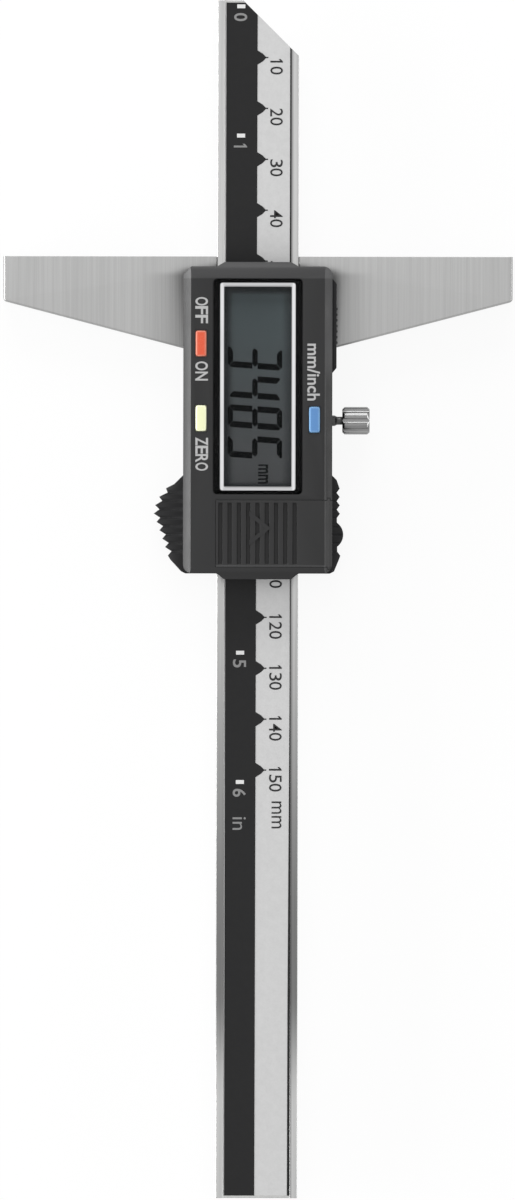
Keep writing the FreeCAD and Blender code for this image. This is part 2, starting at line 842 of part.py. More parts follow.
def port_cover():
    """Return the sliding cover of the data port with its rail."""
    outer_x = housing_half + port_cover_proud
    half = port_cover_width / 2
    edge = port_cover_edge
    outline = [(housing_half, port_rear_y), (outer_x, port_rear_y + edge)]
    outline += [(outer_x, port_front_y - edge), (housing_half, port_front_y)]
    strip = plan_prism(outline, port_z - half, port_z + half)
    neck_half = port_neck_width / 2 - port_gap
    rear = port_rear_y + port_gap
    rail_high = housing_half - port_neck - port_gap
    rail_low = housing_half - port_neck - port_rail + port_gap
    neck = box(rail_low, housing_half, rear, port_front_y, port_z - neck_half, port_z + neck_half)
    rail_half = port_rail_width / 2 - port_gap
    rail = box(rail_low, rail_high, rear, port_front_y, port_z - rail_half, port_z + rail_half)
    return joined([strip, neck, rail])


def tooth_y(place):
    """Return where a tooth of the thumb rests has its tip, counted from the front."""
    return housing_front_y - rest_start - rest_first_tooth - place * rest_pitch


def left_reach(place):
    """Return how far the left thumb rest stands out at a tooth, steep in front and easy behind."""
    step = place - rest_peak_tooth
    if step < 0:
        return left_rest_reach - left_rest_front_drop * (step / rest_peak_tooth) ** 2
    return left_rest_reach - left_rest_rear_drop * step


def right_reach(place):
    """Return how far the right thumb rest stands out at a tooth."""
    return right_rest_reach + right_rest_drop * place


def rest_outline(reach, depth, lobe):
    """Return the toothed plan outline of a thumb rest on the right side, front end first."""
    start_y = housing_front_y - rest_start
    inner_x = housing_half - corner_radius
    ramp = min(rest_ramp, reach(0) - depth)
    outline = [(inner_x, start_y), (housing_half, start_y), (housing_half + ramp, start_y - ramp)]
    for place in range(rest_teeth):
        if not lobe or abs(place - lobe_tooth) > lobe_teeth:
            outline.append((housing_half + reach(place), tooth_y(place)))
        if place < rest_teeth - 1:
            valley = (reach(place) + reach(place + 1)) / 2 - depth
            outline.append((housing_half + valley, (tooth_y(place) + tooth_y(place + 1)) / 2))
    last = rest_teeth - 1
    outline.append((housing_half + reach(last) - depth / 2, tooth_y(last) - rest_pitch / 2))
    outline.append((housing_half + rest_end, housing_rear_y + rest_end))
    outline += [(housing_half - rest_end, housing_rear_y), (inner_x, housing_rear_y)]
    return outline


def thumb_rest(reach, depth, front_slope, back_slope, lobe):
    """Return a thumb rest on the right side, sloped in front and behind, with a line at each tooth."""
    most = max(reach(place) for place in range(rest_teeth))
    body = plan_prism(rest_outline(reach, depth, lobe), 0, split_z)
    if lobe:
        middle_y = (tooth_y(math.floor(lobe_tooth)) + tooth_y(math.ceil(lobe_tooth))) / 2
        lobe_x = housing_half + lobe_reach - lobe_radius
        body = joined([body, post(lobe_radius, lobe_x, middle_y, 0, split_z)])
        most = max(most, lobe_reach)
    outer = housing_half + most
    inner = housing_half - corner_radius
    cross = [(inner, 0), (housing_half, 0), (outer, back_slope), (outer, split_z - front_slope)]
    cross += [(housing_half, split_z), (inner, split_z)]
    low_y = housing_rear_y
    high_y = housing_front_y - rest_start
    body = body.common(cross_prism(cross, low_y, high_y))
    fall = front_slope / most
    for place in range(rest_teeth - 1):
        y = (tooth_y(place) + tooth_y(place + 1)) / 2
        body = body.cut(rest_line(y, outer, fall))
    return body


def rest_line(y, outer, fall):
    """Return the shallow groove that runs over the sloped front of a thumb rest."""
    reach = outer - housing_half + overrun
    half = rest_line_width / 2
    start = housing_half
    corners = [Vector(start, y - half, split_z), Vector(start, y + half, split_z)]
    corners.append(Vector(start, y, split_z - rest_line_depth))
    wedge = face_of(corners).extrude(Vector(reach, 0, -reach * fall))
    return wedge


def rear_cover():
    """Return the moulded back shell with both thumb rests."""
    half = housing_half
    outline = [(-half, rear_cover_front_y, 0), (-half, housing_rear_y, corner_radius)]
    outline += [(half, housing_rear_y, corner_radius), (half, rear_cover_front_y, 0)]
    body = rounded_prism(outline, 0, split_z)
    cross = [(-half + back_bevel, 0), (half - back_bevel, 0), (half, back_bevel), (half, split_z)]
    cross += [(-half, split_z), (-half, back_bevel)]
    body = body.common(cross_prism(cross, housing_rear_y, rear_cover_front_y))
    right = thumb_rest(right_reach, right_tooth_depth, right_rest_slope, right_rest_back_slope, True)
    left = mirrored(thumb_rest(left_reach, tooth_depth, left_rest_slope, left_rest_back_slope, False))
    body = joined([body, right, left])
    front = rear_cover_front_y + overrun
    body = body.cut(box(-pocket_half, pocket_half, cavity_rear_y, front, frame_z, split_z + overrun))
    slot_half = rod_half + cover_end_slot_gap
    slot_low = rod_z - cover_end_slot_gap
    body = body.cut(box(-slot_half, slot_half, housing_rear_y - overrun, front, slot_low, split_z + overrun))
    for x, y in screw_places([front_screw_y, rear_screw_y]):
        body = body.cut(countersink(x, y, housing_screw_radius, housing_screw_head, frame_z + overrun))
    lock_way = lock_shank_radius + lock_wall_gap
    return body.cut(bar(lock_way, pocket_half - overrun, housing_half + overrun, lock_y, rod_middle_z))


def lock_pad():
    """Return the pad that the lock screw presses on the rod."""
    start = rod_half + pad_gap
    return bar(pad_radius, start, start + pad_length, lock_y, rod_middle_z)


def lock_screw():
    """Return the fluted clamping screw with its thin neck."""
    start = rod_half + pad_gap + pad_length
    collar_x = housing_half + lock_collar
    taper_x = collar_x + lock_taper
    knob_x = collar_x + lock_neck + lock_taper
    end_x = knob_x + knob_length
    profile = [(start, 0), (start, lock_shank_radius), (collar_x, lock_shank_radius)]
    profile += [(taper_x, lock_neck_radius), (knob_x, lock_neck_radius), (knob_x, knob_radius - knob_edge)]
    profile += [(knob_x + knob_edge, knob_radius), (end_x - knob_edge, knob_radius)]
    profile += [(end_x, knob_radius - knob_edge), (end_x, 0)]
    face = face_of([Vector(x, lock_y + radius, rod_middle_z) for x, radius in profile])
    screw = face.revolve(Vector(0, lock_y, rod_middle_z), Vector(1, 0, 0), 360)
    for place in range(flute_count):
        angle = 2 * math.pi * place / flute_count
        reach = knob_radius + flute_radius - flute_depth
        y = lock_y + reach * math.cos(angle)
        z = rod_middle_z + reach * math.sin(angle)
        screw = screw.cut(bar(flute_radius, knob_x - overrun, end_x + overrun, y, z))
    return screw


def build():
    """Return every sub-part by its name."""
    nodes = {
        "depth_rod": depth_rod(),
        "scale_strip": scale_layer(strip_z, label_z),
        "scale_label": scale_layer(label_z, label_z + label_thickness),
        "rod_stop_screw": rod_stop_screw(),
        "measuring_base": measuring_base(),
        "slider_frame": slider_frame(),
        "base_screws": base_screws(),
        "gib_strip": gib_strip(),
        "gib_screws": gib_screws(),
        "rear_cover": rear_cover(),
        "housing_screws": housing_screws(),
        "front_housing": front_housing(),
        "window_mask": window_mask(),
        "window_plate": window_plate(),
        "display_bezel": display_bezel(),
        "lcd_panel": lcd_panel(),
        "zebra_strips": zebra_strips(),
        "main_board": main_board(),
        "board_screws": board_screws(),
        "chip_blob": chip_blob(),
        "switch_bodies": switch_bodies(),
        "data_contacts": data_contacts(),
        "battery_cell": battery_cell(),
        "battery_plus_contact": battery_plus_contact(),
        "battery_minus_contact": battery_minus_contact(),
        "battery_cover": battery_cover(),
        "port_cover": port_cover(),
        "lock_pad": lock_pad(),
        "lock_screw": lock_screw(),
    }
    for name, x, y in button_places():
        nodes[name + "_button"] = button(x, y)
        nodes[name + "_switch_stem"] = switch_stem(x, y)
    return nodes


def export(nodes):
    """Write each sub-part to its own file."""
    os.makedirs("parts", exist_ok=True)
    for name, shape in nodes.items():
        shape.exportStep(os.path.join("parts", name + ".step"))
        print(name, len(shape.Solids), round(shape.Volume, 2), shape.isValid())


export(build())
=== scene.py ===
"""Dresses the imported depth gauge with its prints, legends, display reading, softened edges and finishes."""

import json
import logging
import math
from collections.abc import Callable, Iterator
from contextlib import contextmanager
from dataclasses import dataclass, replace
from enum import Enum

import bpy
from mathutils import Matrix, Vector

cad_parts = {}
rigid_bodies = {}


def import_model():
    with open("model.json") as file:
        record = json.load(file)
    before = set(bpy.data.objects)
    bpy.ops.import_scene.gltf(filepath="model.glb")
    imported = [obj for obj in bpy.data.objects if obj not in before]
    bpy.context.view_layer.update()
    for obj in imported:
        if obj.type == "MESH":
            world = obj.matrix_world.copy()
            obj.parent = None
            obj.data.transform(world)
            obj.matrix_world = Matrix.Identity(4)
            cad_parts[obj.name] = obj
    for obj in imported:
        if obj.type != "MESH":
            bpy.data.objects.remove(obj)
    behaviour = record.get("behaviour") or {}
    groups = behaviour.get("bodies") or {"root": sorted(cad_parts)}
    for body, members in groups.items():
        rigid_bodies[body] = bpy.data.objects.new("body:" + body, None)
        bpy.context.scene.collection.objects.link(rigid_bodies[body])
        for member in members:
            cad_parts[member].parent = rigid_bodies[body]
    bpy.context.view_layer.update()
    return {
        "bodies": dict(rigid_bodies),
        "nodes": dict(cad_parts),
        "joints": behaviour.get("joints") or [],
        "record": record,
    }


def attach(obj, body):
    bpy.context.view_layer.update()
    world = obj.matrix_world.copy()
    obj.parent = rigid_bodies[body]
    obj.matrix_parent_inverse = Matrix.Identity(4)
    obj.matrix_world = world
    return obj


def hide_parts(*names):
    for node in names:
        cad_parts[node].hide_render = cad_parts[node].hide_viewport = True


MILLIMETRE = 0.001
# Corners nearer than this are one.
WELD = MILLIMETRE / 1000
# The thickness of printed ink and the height of the housing's front, in millimetres.
INK = 0.02
FRONT_Z = 15.5
WHITE = (1.0, 1.0, 1.0, 1.0)
log = logging.getLogger("depth_gauge")

Colour = tuple[float, float, float]
Point = tuple[float, float]
Point3 = tuple[float, float, float]
frozen = dataclass(frozen=True)
Piece = bpy.types.Object


class Run(Enum):
    """The way that brushed lines run, as the size in millimetres of a line along X, Y and Z."""

    ALONG_ROD = (0.16, 22.0, 0.16)
    ACROSS_ROD = (22.0, 0.16, 0.16)
    ROUND_SCREW = (6.0, 0.4, 0.4)


class Body(Enum):
    """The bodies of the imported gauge."""

    HEAD = "head"
    ROD = "rod"
    POWER = "power_button"
    ZERO = "zero_button"
    UNIT = "unit_button"
    LOCK = "lock_screw"
    BATTERY_DOOR = "battery_cover"
    PORT_DOOR = "port_cover"


def step_of(operation: str, turned: bool = False) -> Callable:
    """Return a method that does one step of arithmetic, with its two sides turned round where asked."""

    def step(self: "Field", other: "Field | float" = 0.0) -> "Field":
        """Return the result of the step as a new value."""
        first, second = (other, self) if turned else (self, other)
        return self.paint.value("ShaderNodeMath", {0: first, 1: second}, operation=operation)

    return step


class Field:
    """A value that changes over a surface and takes part in plain arithmetic."""

    def __init__(self, paint: "Paint", socket: bpy.types.NodeSocket) -> None:
        """Keep the paint that the value belongs to and the socket that gives it."""
        self.paint = paint
        self.socket = socket

    __add__ = __radd__ = step_of("ADD")
    __sub__ = step_of("SUBTRACT")
    __rsub__ = step_of("SUBTRACT", turned=True)
    __mul__ = __rmul__ = step_of("MULTIPLY")
    __abs__ = step_of("ABSOLUTE")
    sine = step_of("SINE")
    larger = step_of("MAXIMUM")

    def rising(self, low: float, high: float) -> "Field":
        """Return a smooth step, which leaves nought at the low end and reaches one at the high end."""
        sockets = {0: self, 1: low, 2: high, 3: 0.0, 4: 1.0}
        return self.paint.value("ShaderNodeMapRange", sockets, interpolation_type="SMOOTHSTEP")


class Paint:
    """The nodes of one material, or of the world."""

    def __init__(self, name: str, store: bpy.types.bpy_prop_collection | None = None) -> None:
        """Start with an empty node tree, kept among Blender's materials unless its worlds are given."""
        kept = bpy.data.materials if store is None else store
        self.material = kept.new(name)
        self.material.use_nodes = True
        self.tree = self.material.node_tree
        self.tree.nodes.clear()
        self.position = self.value("ShaderNodeTexCoord", output="Object")

    def node(self, kind: str, sockets: dict | None = None, **settings: object) -> bpy.types.Node:
        """Add a node of a kind, with its settings and then the value or link of each of its sockets."""
        node = self.tree.nodes.new(kind)
        for key, value in settings.items():
            setattr(node, key, value)
        for key, value in (sockets or {}).items():
            if isinstance(value, Field):
                self.tree.links.new(value.socket, node.inputs[key])
            else:
                node.inputs[key].default_value = value
        return node

    def value(
        self, kind: str, sockets: dict | None = None, output: int | str = 0, **settings: object
    ) -> Field:
        """Add a node in the same way and return one of its outputs."""
        return Field(self, self.node(kind, sockets, **settings).outputs[output])

    def along(self, axis: int) -> Field:
        """Return the place along X, Y or Z, in millimetres."""
        return self.value("ShaderNodeSeparateXYZ", {0: self.position}, axis) * (1.0 / MILLIMETRE)

    def behind(self) -> Field:
        """Return how far a place lies behind the measuring face, in millimetres."""
        return -1.0 * self.along(1)

    def noise(self, sizes: Point3, detail: float = 2.0, shift: float = 0.0) -> Field:
        """Return a cloudy value around one half, from clouds of these sizes in millimetres.

        The detail is the number of finer layers, and the shift moves the pattern so that two differ.
        """
        scale = tuple(1.0 / (size * MILLIMETRE) for size in sizes)
        place = {"Vector": self.position, "Location": (shift, shift, shift), "Scale": scale}
        vector = self.value("ShaderNodeMapping", place)
        return self.value("ShaderNodeTexNoise", {"Vector": vector, "Scale": 1.0, "Detail": detail})

    def blend(self, share: Field, first: "Field | Colour", second: "Field | Colour") -> Field:
        """Return a colour between the first, which shows at nought, and the second, which shows at one."""
        ends = [end if isinstance(end, Field) else (*end, 1.0) for end in (first, second)]
        sockets = {0: share, 6: ends[0], 7: ends[1]}
        return self.value("ShaderNodeMix", sockets, 2, data_type="RGBA", clamp_factor=True)

    def uneven(self, share: Field, tone: Colour, spread: float) -> Field:
        """Return a tone that a share from nought to one makes darker and lighter by up to a spread."""
        return self.blend(share, shade(tone, 1.0 - spread), shade(tone, 1.0 + spread))

    def bump(self, height: Field, depth: float) -> Field:
        """Return a normal from a height of nought to one, where one stands for a depth in millimetres."""
        sockets = {"Height": height, "Distance": depth * MILLIMETRE, "Strength": 1.0}
        return self.value("ShaderNodeBump", sockets)

    def backdrop(self) -> Field:
        """Return one for rays from the camera, off gloss and through glass, which show the background."""
        rays = self.node("ShaderNodeLightPath").outputs
        kinds = ("Camera", "Glossy", "Transmission")
        camera, gloss, glass = (Field(self, rays[f"Is {kind} Ray"]) for kind in kinds)
        return camera.larger(gloss).larger(glass)

    def layer(self, sockets: dict) -> Field:
        """Return one shader with the given value or link in each of its sockets."""
        return self.value("ShaderNodeBsdfPrincipled", sockets)

    def mixed(self, share: Field, first: Field, second: Field) -> Field:
        """Return a shader between the first, which shows at nought, and the second, which shows at one."""
        return self.value("ShaderNodeMixShader", {0: share, 1: first, 2: second})

    def close(self, surface: Field) -> bpy.types.Material:
        """Finish the material with the shader of its surface and return it."""
        self.node("ShaderNodeOutputMaterial", {"Surface": surface})
        return self.material


def linked(name: str, data: bpy.types.ID) -> Piece:
    """Return a new object of some data, placed in the scene."""
    piece = bpy.data.objects.new(name, data)
    bpy.context.scene.collection.objects.link(piece)
    return piece


def shade(tone: Colour, share: float) -> Colour:
    """Return a tone made lighter or darker by a share."""
    return tuple(max(0.0, channel * share) for channel in tone)


@frozen
class Finish:
    """One look, which is mixed once and shared by the pieces that wear it."""

    name: str

    def mix(self) -> bpy.types.Material:
        """Return the material."""
        paint = Paint(self.name)
        return paint.close(self.shader(paint))

    def shader(self, paint: Paint) -> Field:
        """Return the surface's shader."""
        raise NotImplementedError(self.name)


@frozen
class BrushedSteel(Finish):
    """Ground steel whose fine lines run one way."""

    tone: Colour
    roughness: float
    run: Run
    spread: float = 0.14
    broad: float = 5.0
    depth: float = 0.0016
    fine_share: float = 0.55
    swing: float = 0.22

    def tones(self, paint: Paint, lines: Field) -> Field:
        """Return the colour over the surface."""
        return paint.uneven(lines, self.tone, self.spread)

    def shader(self, paint: Paint) -> Field:
        fine = paint.noise(self.run.value, 3.0)
        broad = paint.noise(tuple(size * self.broad for size in self.run.value), 2.0, 7.3)
        both = fine * self.fine_share + broad * (1.0 - self.fine_share)
        contrast = both.rising(0.30, 0.70)
        sockets = {
            "Base Color": self.tones(paint, contrast),
            "Metallic": 1.0,
            "Roughness": self.roughness + (both - 0.5) * self.swing,
            "Normal": paint.bump(fine, self.depth),
        }
        return paint.layer(sockets)


@frozen
class BaseSteel(BrushedSteel):
    """The steel of the measuring base, with painted shade beside the display housing and at the ends of its
    arms.
    """

    housing_half: float = 14.62
    fade: float = 9.5
    # Painted shade beside the housing, standing in for its shadow and dark reflection on the steel.
    dull: float = 0.75
    dull_from: float = 2.7
    dull_to: float = 3.9
    # Painted shade at the ends of the arms, which hides the highlight on their rounded edges.
    end_x: float = 49.95
    end_width: float = 0.4
    end_dull: float = 0.3

    def tones(self, paint: Paint, lines: Field) -> Field:
        plain = super().tones(paint, lines)
        across = abs(paint.along(0))
        # Painted shade: darker beside the housing, fading away from it.
        near = 1.0 - across.rising(self.housing_half, self.housing_half + self.fade)
        beside = paint.behind().rising(self.dull_from, self.dull_to)
        shaded = paint.uneven(lines, shade(self.tone, self.dull), 0.1)
        over = paint.blend(near * beside, plain, shaded)
        # Painted shade at the ends of the arms.
        end = across.rising(self.end_x - self.end_width, self.end_x)
        return paint.blend(end, over, shade(self.tone, self.end_dull))


@frozen
class RodSteel(BrushedSteel):
    """The steel of the rod, with a painted reflection that darkens a stretch of its front, and painted shade
    along its right seam.
    """

    # Painted reflection: the front is painted darker from dark_from to dark_to behind the face, and plain
    # again past light_to.
    dark_from: float = 41.6
    dark_to: float = 138.0
    light_from: float = 144.0
    light_to: float = 168.0
    darkest: float = 0.34
    front: float = 6.6
    soft: float = 0.2
    # Painted shade of the gap beside the label, along the steel's right seam.
    seam_x: float = 6.5
    seam_width: float = 0.6
    seam_dull: float = 0.55

    def tones(self, paint: Paint, lines: Field) -> Field:
        behind = paint.behind()
        across = paint.along(0)
        # Painted reflection along a stretch of the rod's front.
        reflection_share = behind.rising(self.dark_from, self.dark_to)
        reflection_end = behind.rising(self.light_from, self.light_to)
        face = paint.along(2).rising(self.front, self.front + self.soft)
        dark = paint.uneven(lines, shade(self.tone, self.darkest), 0.1)
        over = paint.blend(reflection_share * (1.0 - reflection_end) * face, super().tones(paint, lines), dark)
        # Painted shade along the seam beside the label.
        seam = across.rising(self.seam_x - self.soft, self.seam_x)
        seam = seam * (1.0 - across.rising(self.seam_x, self.seam_x + self.seam_width)) * face
        return paint.blend(seam * self.seam_dull, over, (0.0, 0.0, 0.0))


@frozen
class KnobSteel(BrushedSteel):
    """The steel of the clamping screw, whose neck is painted dark as shade."""

    head_x: float = 16.6
    soft: float = 0.15
    # Painted shade: the share of the tone on the screw's neck, which lies in shadow.
    neck: float = 0.30

    def tones(self, paint: Paint, lines: Field) -> Field:
        head = paint.along(0).rising(self.head_x - self.soft, self.head_x)
        return paint.blend(head, shade(self.tone, self.neck), super().tones(paint, lines))


@frozen
class MouldedPlastic(Finish):
    """Plastic with the fine grain of its mould."""

    tone: Colour
    roughness: float
    grain: float = 0.16
    depth: float = 0.006
    spread: float = 0.10
    specular: float = 0.5

    def surface(self, paint: Paint, tone: Colour, shine: float = 1.0) -> Field:
        """Return the shader of the plastic in a tone, with a share of its usual shine."""
        cloud = paint.noise((4.0, 4.0, 4.0), 3.0)
        grain = paint.noise((self.grain,) * 3, 2.0, 3.1)
        coarse = paint.noise((self.grain * 3.0,) * 3, 1.0, 5.7)
        sockets = {
            "Base Color": paint.uneven(cloud * 0.5 + grain * 0.5, tone, self.spread),
            "Roughness": self.roughness + (cloud - 0.5) * 0.16 + (grain - 0.5) * 0.10,
            "Specular IOR Level": self.specular * shine,
            "Normal": paint.bump(grain * 0.7 + coarse * 0.3, self.depth),
        }
        return paint.layer(sockets)

    def duller(self, paint: Paint, share: float) -> Field:
        """Return the plastic's shader with a share of its tone and of its shine, which paints shade."""
        return self.surface(paint, shade(self.tone, share), share)

    def shader(self, paint: Paint) -> Field:
        return self.surface(paint, self.tone)


@frozen
class BevelledPlastic(MouldedPlastic):
    """Plastic of the display housing, with painted shade along the rear half of its right bevel."""

    bevel_x: float = 13.3
    bevel_soft: float = 0.1
    bevel_from: float = 20.0
    bevel_to: float = 26.0
    # Painted shade: the share of tone and shine on the rear half of the right bevel.
    bevel_dull: float = 0.68

    def bevelled(self, paint: Paint, base: Field) -> Field:
        """Return a shader with painted shade on that part of the bevel and as given elsewhere."""
        across = paint.along(0).rising(self.bevel_x - self.bevel_soft, self.bevel_x + self.bevel_soft)
        behind = paint.behind().rising(self.bevel_from, self.bevel_to)
        return paint.mixed(across * behind, base, self.duller(paint, self.bevel_dull))


@frozen
class GroovedPlastic(BevelledPlastic):
    """Plastic of the battery door, with painted shade in the grooves between its ribs and a painted highlight
    on its rear edge.
    """

    rib_z: float = 15.45
    groove_z: float = 15.2
    rib_half: float = 7.9
    soft: float = 0.1
    # Painted shade: the share of tone and shine in the grooves between the ribs.
    dull: float = 0.74
    # Painted highlight on the upper part of the door's rear edge, where its rounding catches light.
    end_tone: Colour = (0.055, 0.055, 0.056)
    end_from: float = 60.5
    end_to: float = 60.9
    end_low: float = 13.4
    end_high: float = 13.8

    def shader(self, paint: Paint) -> Field:
        height = paint.along(2)
        # Painted highlight on the upper part of the rear edge.
        end = paint.behind().rising(self.end_from, self.end_to) * height.rising(self.end_low, self.end_high)
        beside = abs(paint.along(0)).rising(self.rib_half, self.rib_half + self.soft)
        rib = height.rising(self.groove_z, self.rib_z).larger(beside)
        # Painted shade in the grooves, the plain surface on the ribs.
        ribbed = paint.mixed(rib, self.duller(paint, self.dull), self.surface(paint, self.tone))
        return self.bevelled(paint, paint.mixed(end, ribbed, self.surface(paint, self.end_tone)))


@frozen
class ShellPlastic(BevelledPlastic):
    """Plastic of the display housing, whose front slope is painted a little paler as a highlight."""

    # Painted highlight on the front slope, which faces the light beyond the rod's tip.
    slope_tone: Colour = (0.036, 0.036, 0.037)
    slope_from: float = -4.6
    slope_to: float = -4.2

    def shader(self, paint: Paint) -> Field:
        slope = paint.along(1).rising(self.slope_from, self.slope_to)
        slope_highlight = self.surface(paint, self.slope_tone)
        return self.bevelled(paint, paint.mixed(slope, self.surface(paint, self.tone), slope_highlight))


@frozen
class CapPlastic(MouldedPlastic):
    """Plastic of a button, whose rim is painted paler than the middle of its top as a highlight."""

    # Painted highlight on the rim of the cap.
    rim_tone: Colour = (1.0, 1.0, 1.0)
    middle: Point = (0.0, 0.0)
    half: Point = (1.05, 2.55)
    rim: float = 0.55

    def shader(self, paint: Paint) -> Field:
        across, along = (abs(paint.along(axis) - self.middle[axis]) for axis in (0, 1))
        sides = across.rising(self.half[0] - self.rim, self.half[0])
        ends = along.rising(self.half[1] - self.rim, self.half[1])
        rim = self.surface(paint, self.rim_tone)
        return paint.mixed(sides.larger(ends), self.surface(paint, self.tone), rim)


@frozen
class Print(Finish):
    """Printed ink or film, with the slight unevenness of its coat."""

    tone: Colour
    roughness: float = 0.45
    metallic: float = 0.0
    spread: float = 0.05
    specular: float = 0.3
    speck: float = 0.12
    swing: float = 0.14
    depth: float = 0.001

    def tones(self, paint: Paint, both: Field) -> Field:
        return paint.uneven(both, self.tone, self.spread)

    def shader(self, paint: Paint) -> Field:
        coat = paint.noise((1.3, 1.3, 1.3), 3.0)
        speck = paint.noise((self.speck,) * 3, 2.0, 2.2)
        sockets = {
            "Base Color": self.tones(paint, coat * 0.5 + speck * 0.5),
            "Metallic": self.metallic,
            "Roughness": self.roughness + (speck - 0.5) * self.swing,
            "Specular IOR Level": self.specular,
            "Normal": paint.bump(speck, self.depth),
        }
        return paint.layer(sockets)


@frozen
class BezelPrint(Print):
    """The display's line frame, with a painted highlight along the middle of its side lines and painted shade
    inside its end lines.
    """

    # Painted highlight along the middle of the side lines, and painted shade inside the end lines.
    side_tone: Colour = (0.78, 0.78, 0.79)
    end_tone: Colour = (0.20, 0.20, 0.205)
    side_x: float = 7.02
    side_half: float = 0.38
    front_y: float = -5.29
    rear_y: float = -46.0
    width: float = 0.76

    def tones(self, paint: Paint, both: Field) -> Field:
        across = abs(paint.along(0))
        middle = 1.0 - abs(across - self.side_x).rising(self.side_half * 0.2, self.side_half)
        sides = paint.blend(middle, super().tones(paint, both), self.side_tone)
        low = self.width * 0.4
        high = self.width * 1.2
        front = paint.behind().rising(low - self.front_y, high - self.front_y)
        rear = paint.along(1).rising(self.rear_y + low, self.rear_y + high)
        between = 1.0 - across.rising(self.side_x - self.side_half * 2.0, self.side_x - self.side_half)
        return paint.blend(front * rear * between, sides, self.end_tone)


@frozen
class DisplayGlass(Finish):
    """The grey glass of the display, with painted shade towards its rim, and less green towards its rear end.
    """

    tone: Colour
    rear_tone: Colour
    # Painted shade: the tone at the glass's rim, where the window's edges cast shadow.
    rim_tone: Colour
    rim_start: float = 4.4
    rim_end: float = 6.2
    right_share: float = 0.55
    front_y: float = -6.6
    rear_y: float = -45.24
    rim: float = 1.3

    def shader(self, paint: Paint) -> Field:
        across = paint.along(0)
        along = paint.along(1)
        # Painted shade towards the rim, stronger on the left than on the right.
        left = (-1.0 * across).rising(self.rim_start, self.rim_end)
        right = across.rising(self.rim_start, self.rim_end) * self.right_share
        front = along.rising(self.front_y - self.rim, self.front_y)
        rear = 1.0 - along.rising(self.rear_y, self.rear_y + self.rim)
        rim = 1.0 - (1.0 - left) * (1.0 - right) * (1.0 - front) * (1.0 - rear)
        cloud = paint.noise((5.0, 5.0, 5.0), 3.0)
        backwards = paint.behind().rising(-self.front_y, -self.rear_y)
        field = paint.blend(backwards, paint.uneven(cloud, self.tone, 0.1), self.rear_tone)
        sockets = {
            "Base Color": paint.blend(rim, field, self.rim_tone),
            "Roughness": 0.42 + (cloud - 0.5) * 0.1,
            "Specular IOR Level": 0.25,
        }
        return paint.layer(sockets)


@frozen
class ClearPlastic(Finish):
    """The clear window, with a faint wiped haze."""

    tone: Colour = (0.01, 0.011, 0.011)
    cover: float = 0.12

    def shader(self, paint: Paint) -> Field:
        haze = paint.noise((3.0, 9.0, 3.0), 3.0)
        sockets = {
            "Base Color": (*self.tone, 1.0),
            "Roughness": 0.08 + haze * 0.08,
            "Specular IOR Level": 0.18,
            "Alpha": self.cover + (haze - 0.5) * 0.04,
        }
        return paint.layer(sockets)


@frozen
class CircuitBoard(Finish):
    """Green board with its copper tracks under the lacquer."""

    tone: Colour
    track_tone: Colour
    pitch: float = 1.3

    def shader(self, paint: Paint) -> Field:
        sway = paint.noise((6.0, 6.0, 6.0), 1.0) * 5.0
        tracks = ((paint.along(0) + sway) * (2.0 * math.pi / self.pitch)).sine().rising(0.25, 0.55)
        cloud = paint.noise((2.0, 2.0, 2.0), 3.0, 4.0)
        sockets = {
            "Base Color": paint.blend(tracks, paint.uneven(cloud, self.tone, 0.15), self.track_tone),
            "Roughness": 0.30 + cloud * 0.15,
            "Normal": paint.bump(tracks, 0.03),
        }
        return paint.layer(sockets)


@frozen
class StripedRubber(Finish):
    """Contact rubber with its thin dark and pale layers."""

    dark: Colour
    pale: Colour
    pitch: float = 0.4

    def shader(self, paint: Paint) -> Field:
        layers = (paint.along(1) * (2.0 * math.pi / self.pitch)).sine().rising(-0.3, 0.3)
        cloud = paint.noise((0.8, 0.8, 0.8), 2.0)
        sockets = {
            "Base Color": paint.blend(layers, self.dark, self.pale),
            "Roughness": 0.75 + (cloud - 0.5) * 0.2,
            "Normal": paint.bump(cloud, 0.01),
        }
        return paint.layer(sockets)


@frozen
class Box:
    """The room of a word, in millimetres: its middle, its length along the rod and its height across it."""

    x: float
    y: float
    length: float
    height: float
    weight: float = 0.0


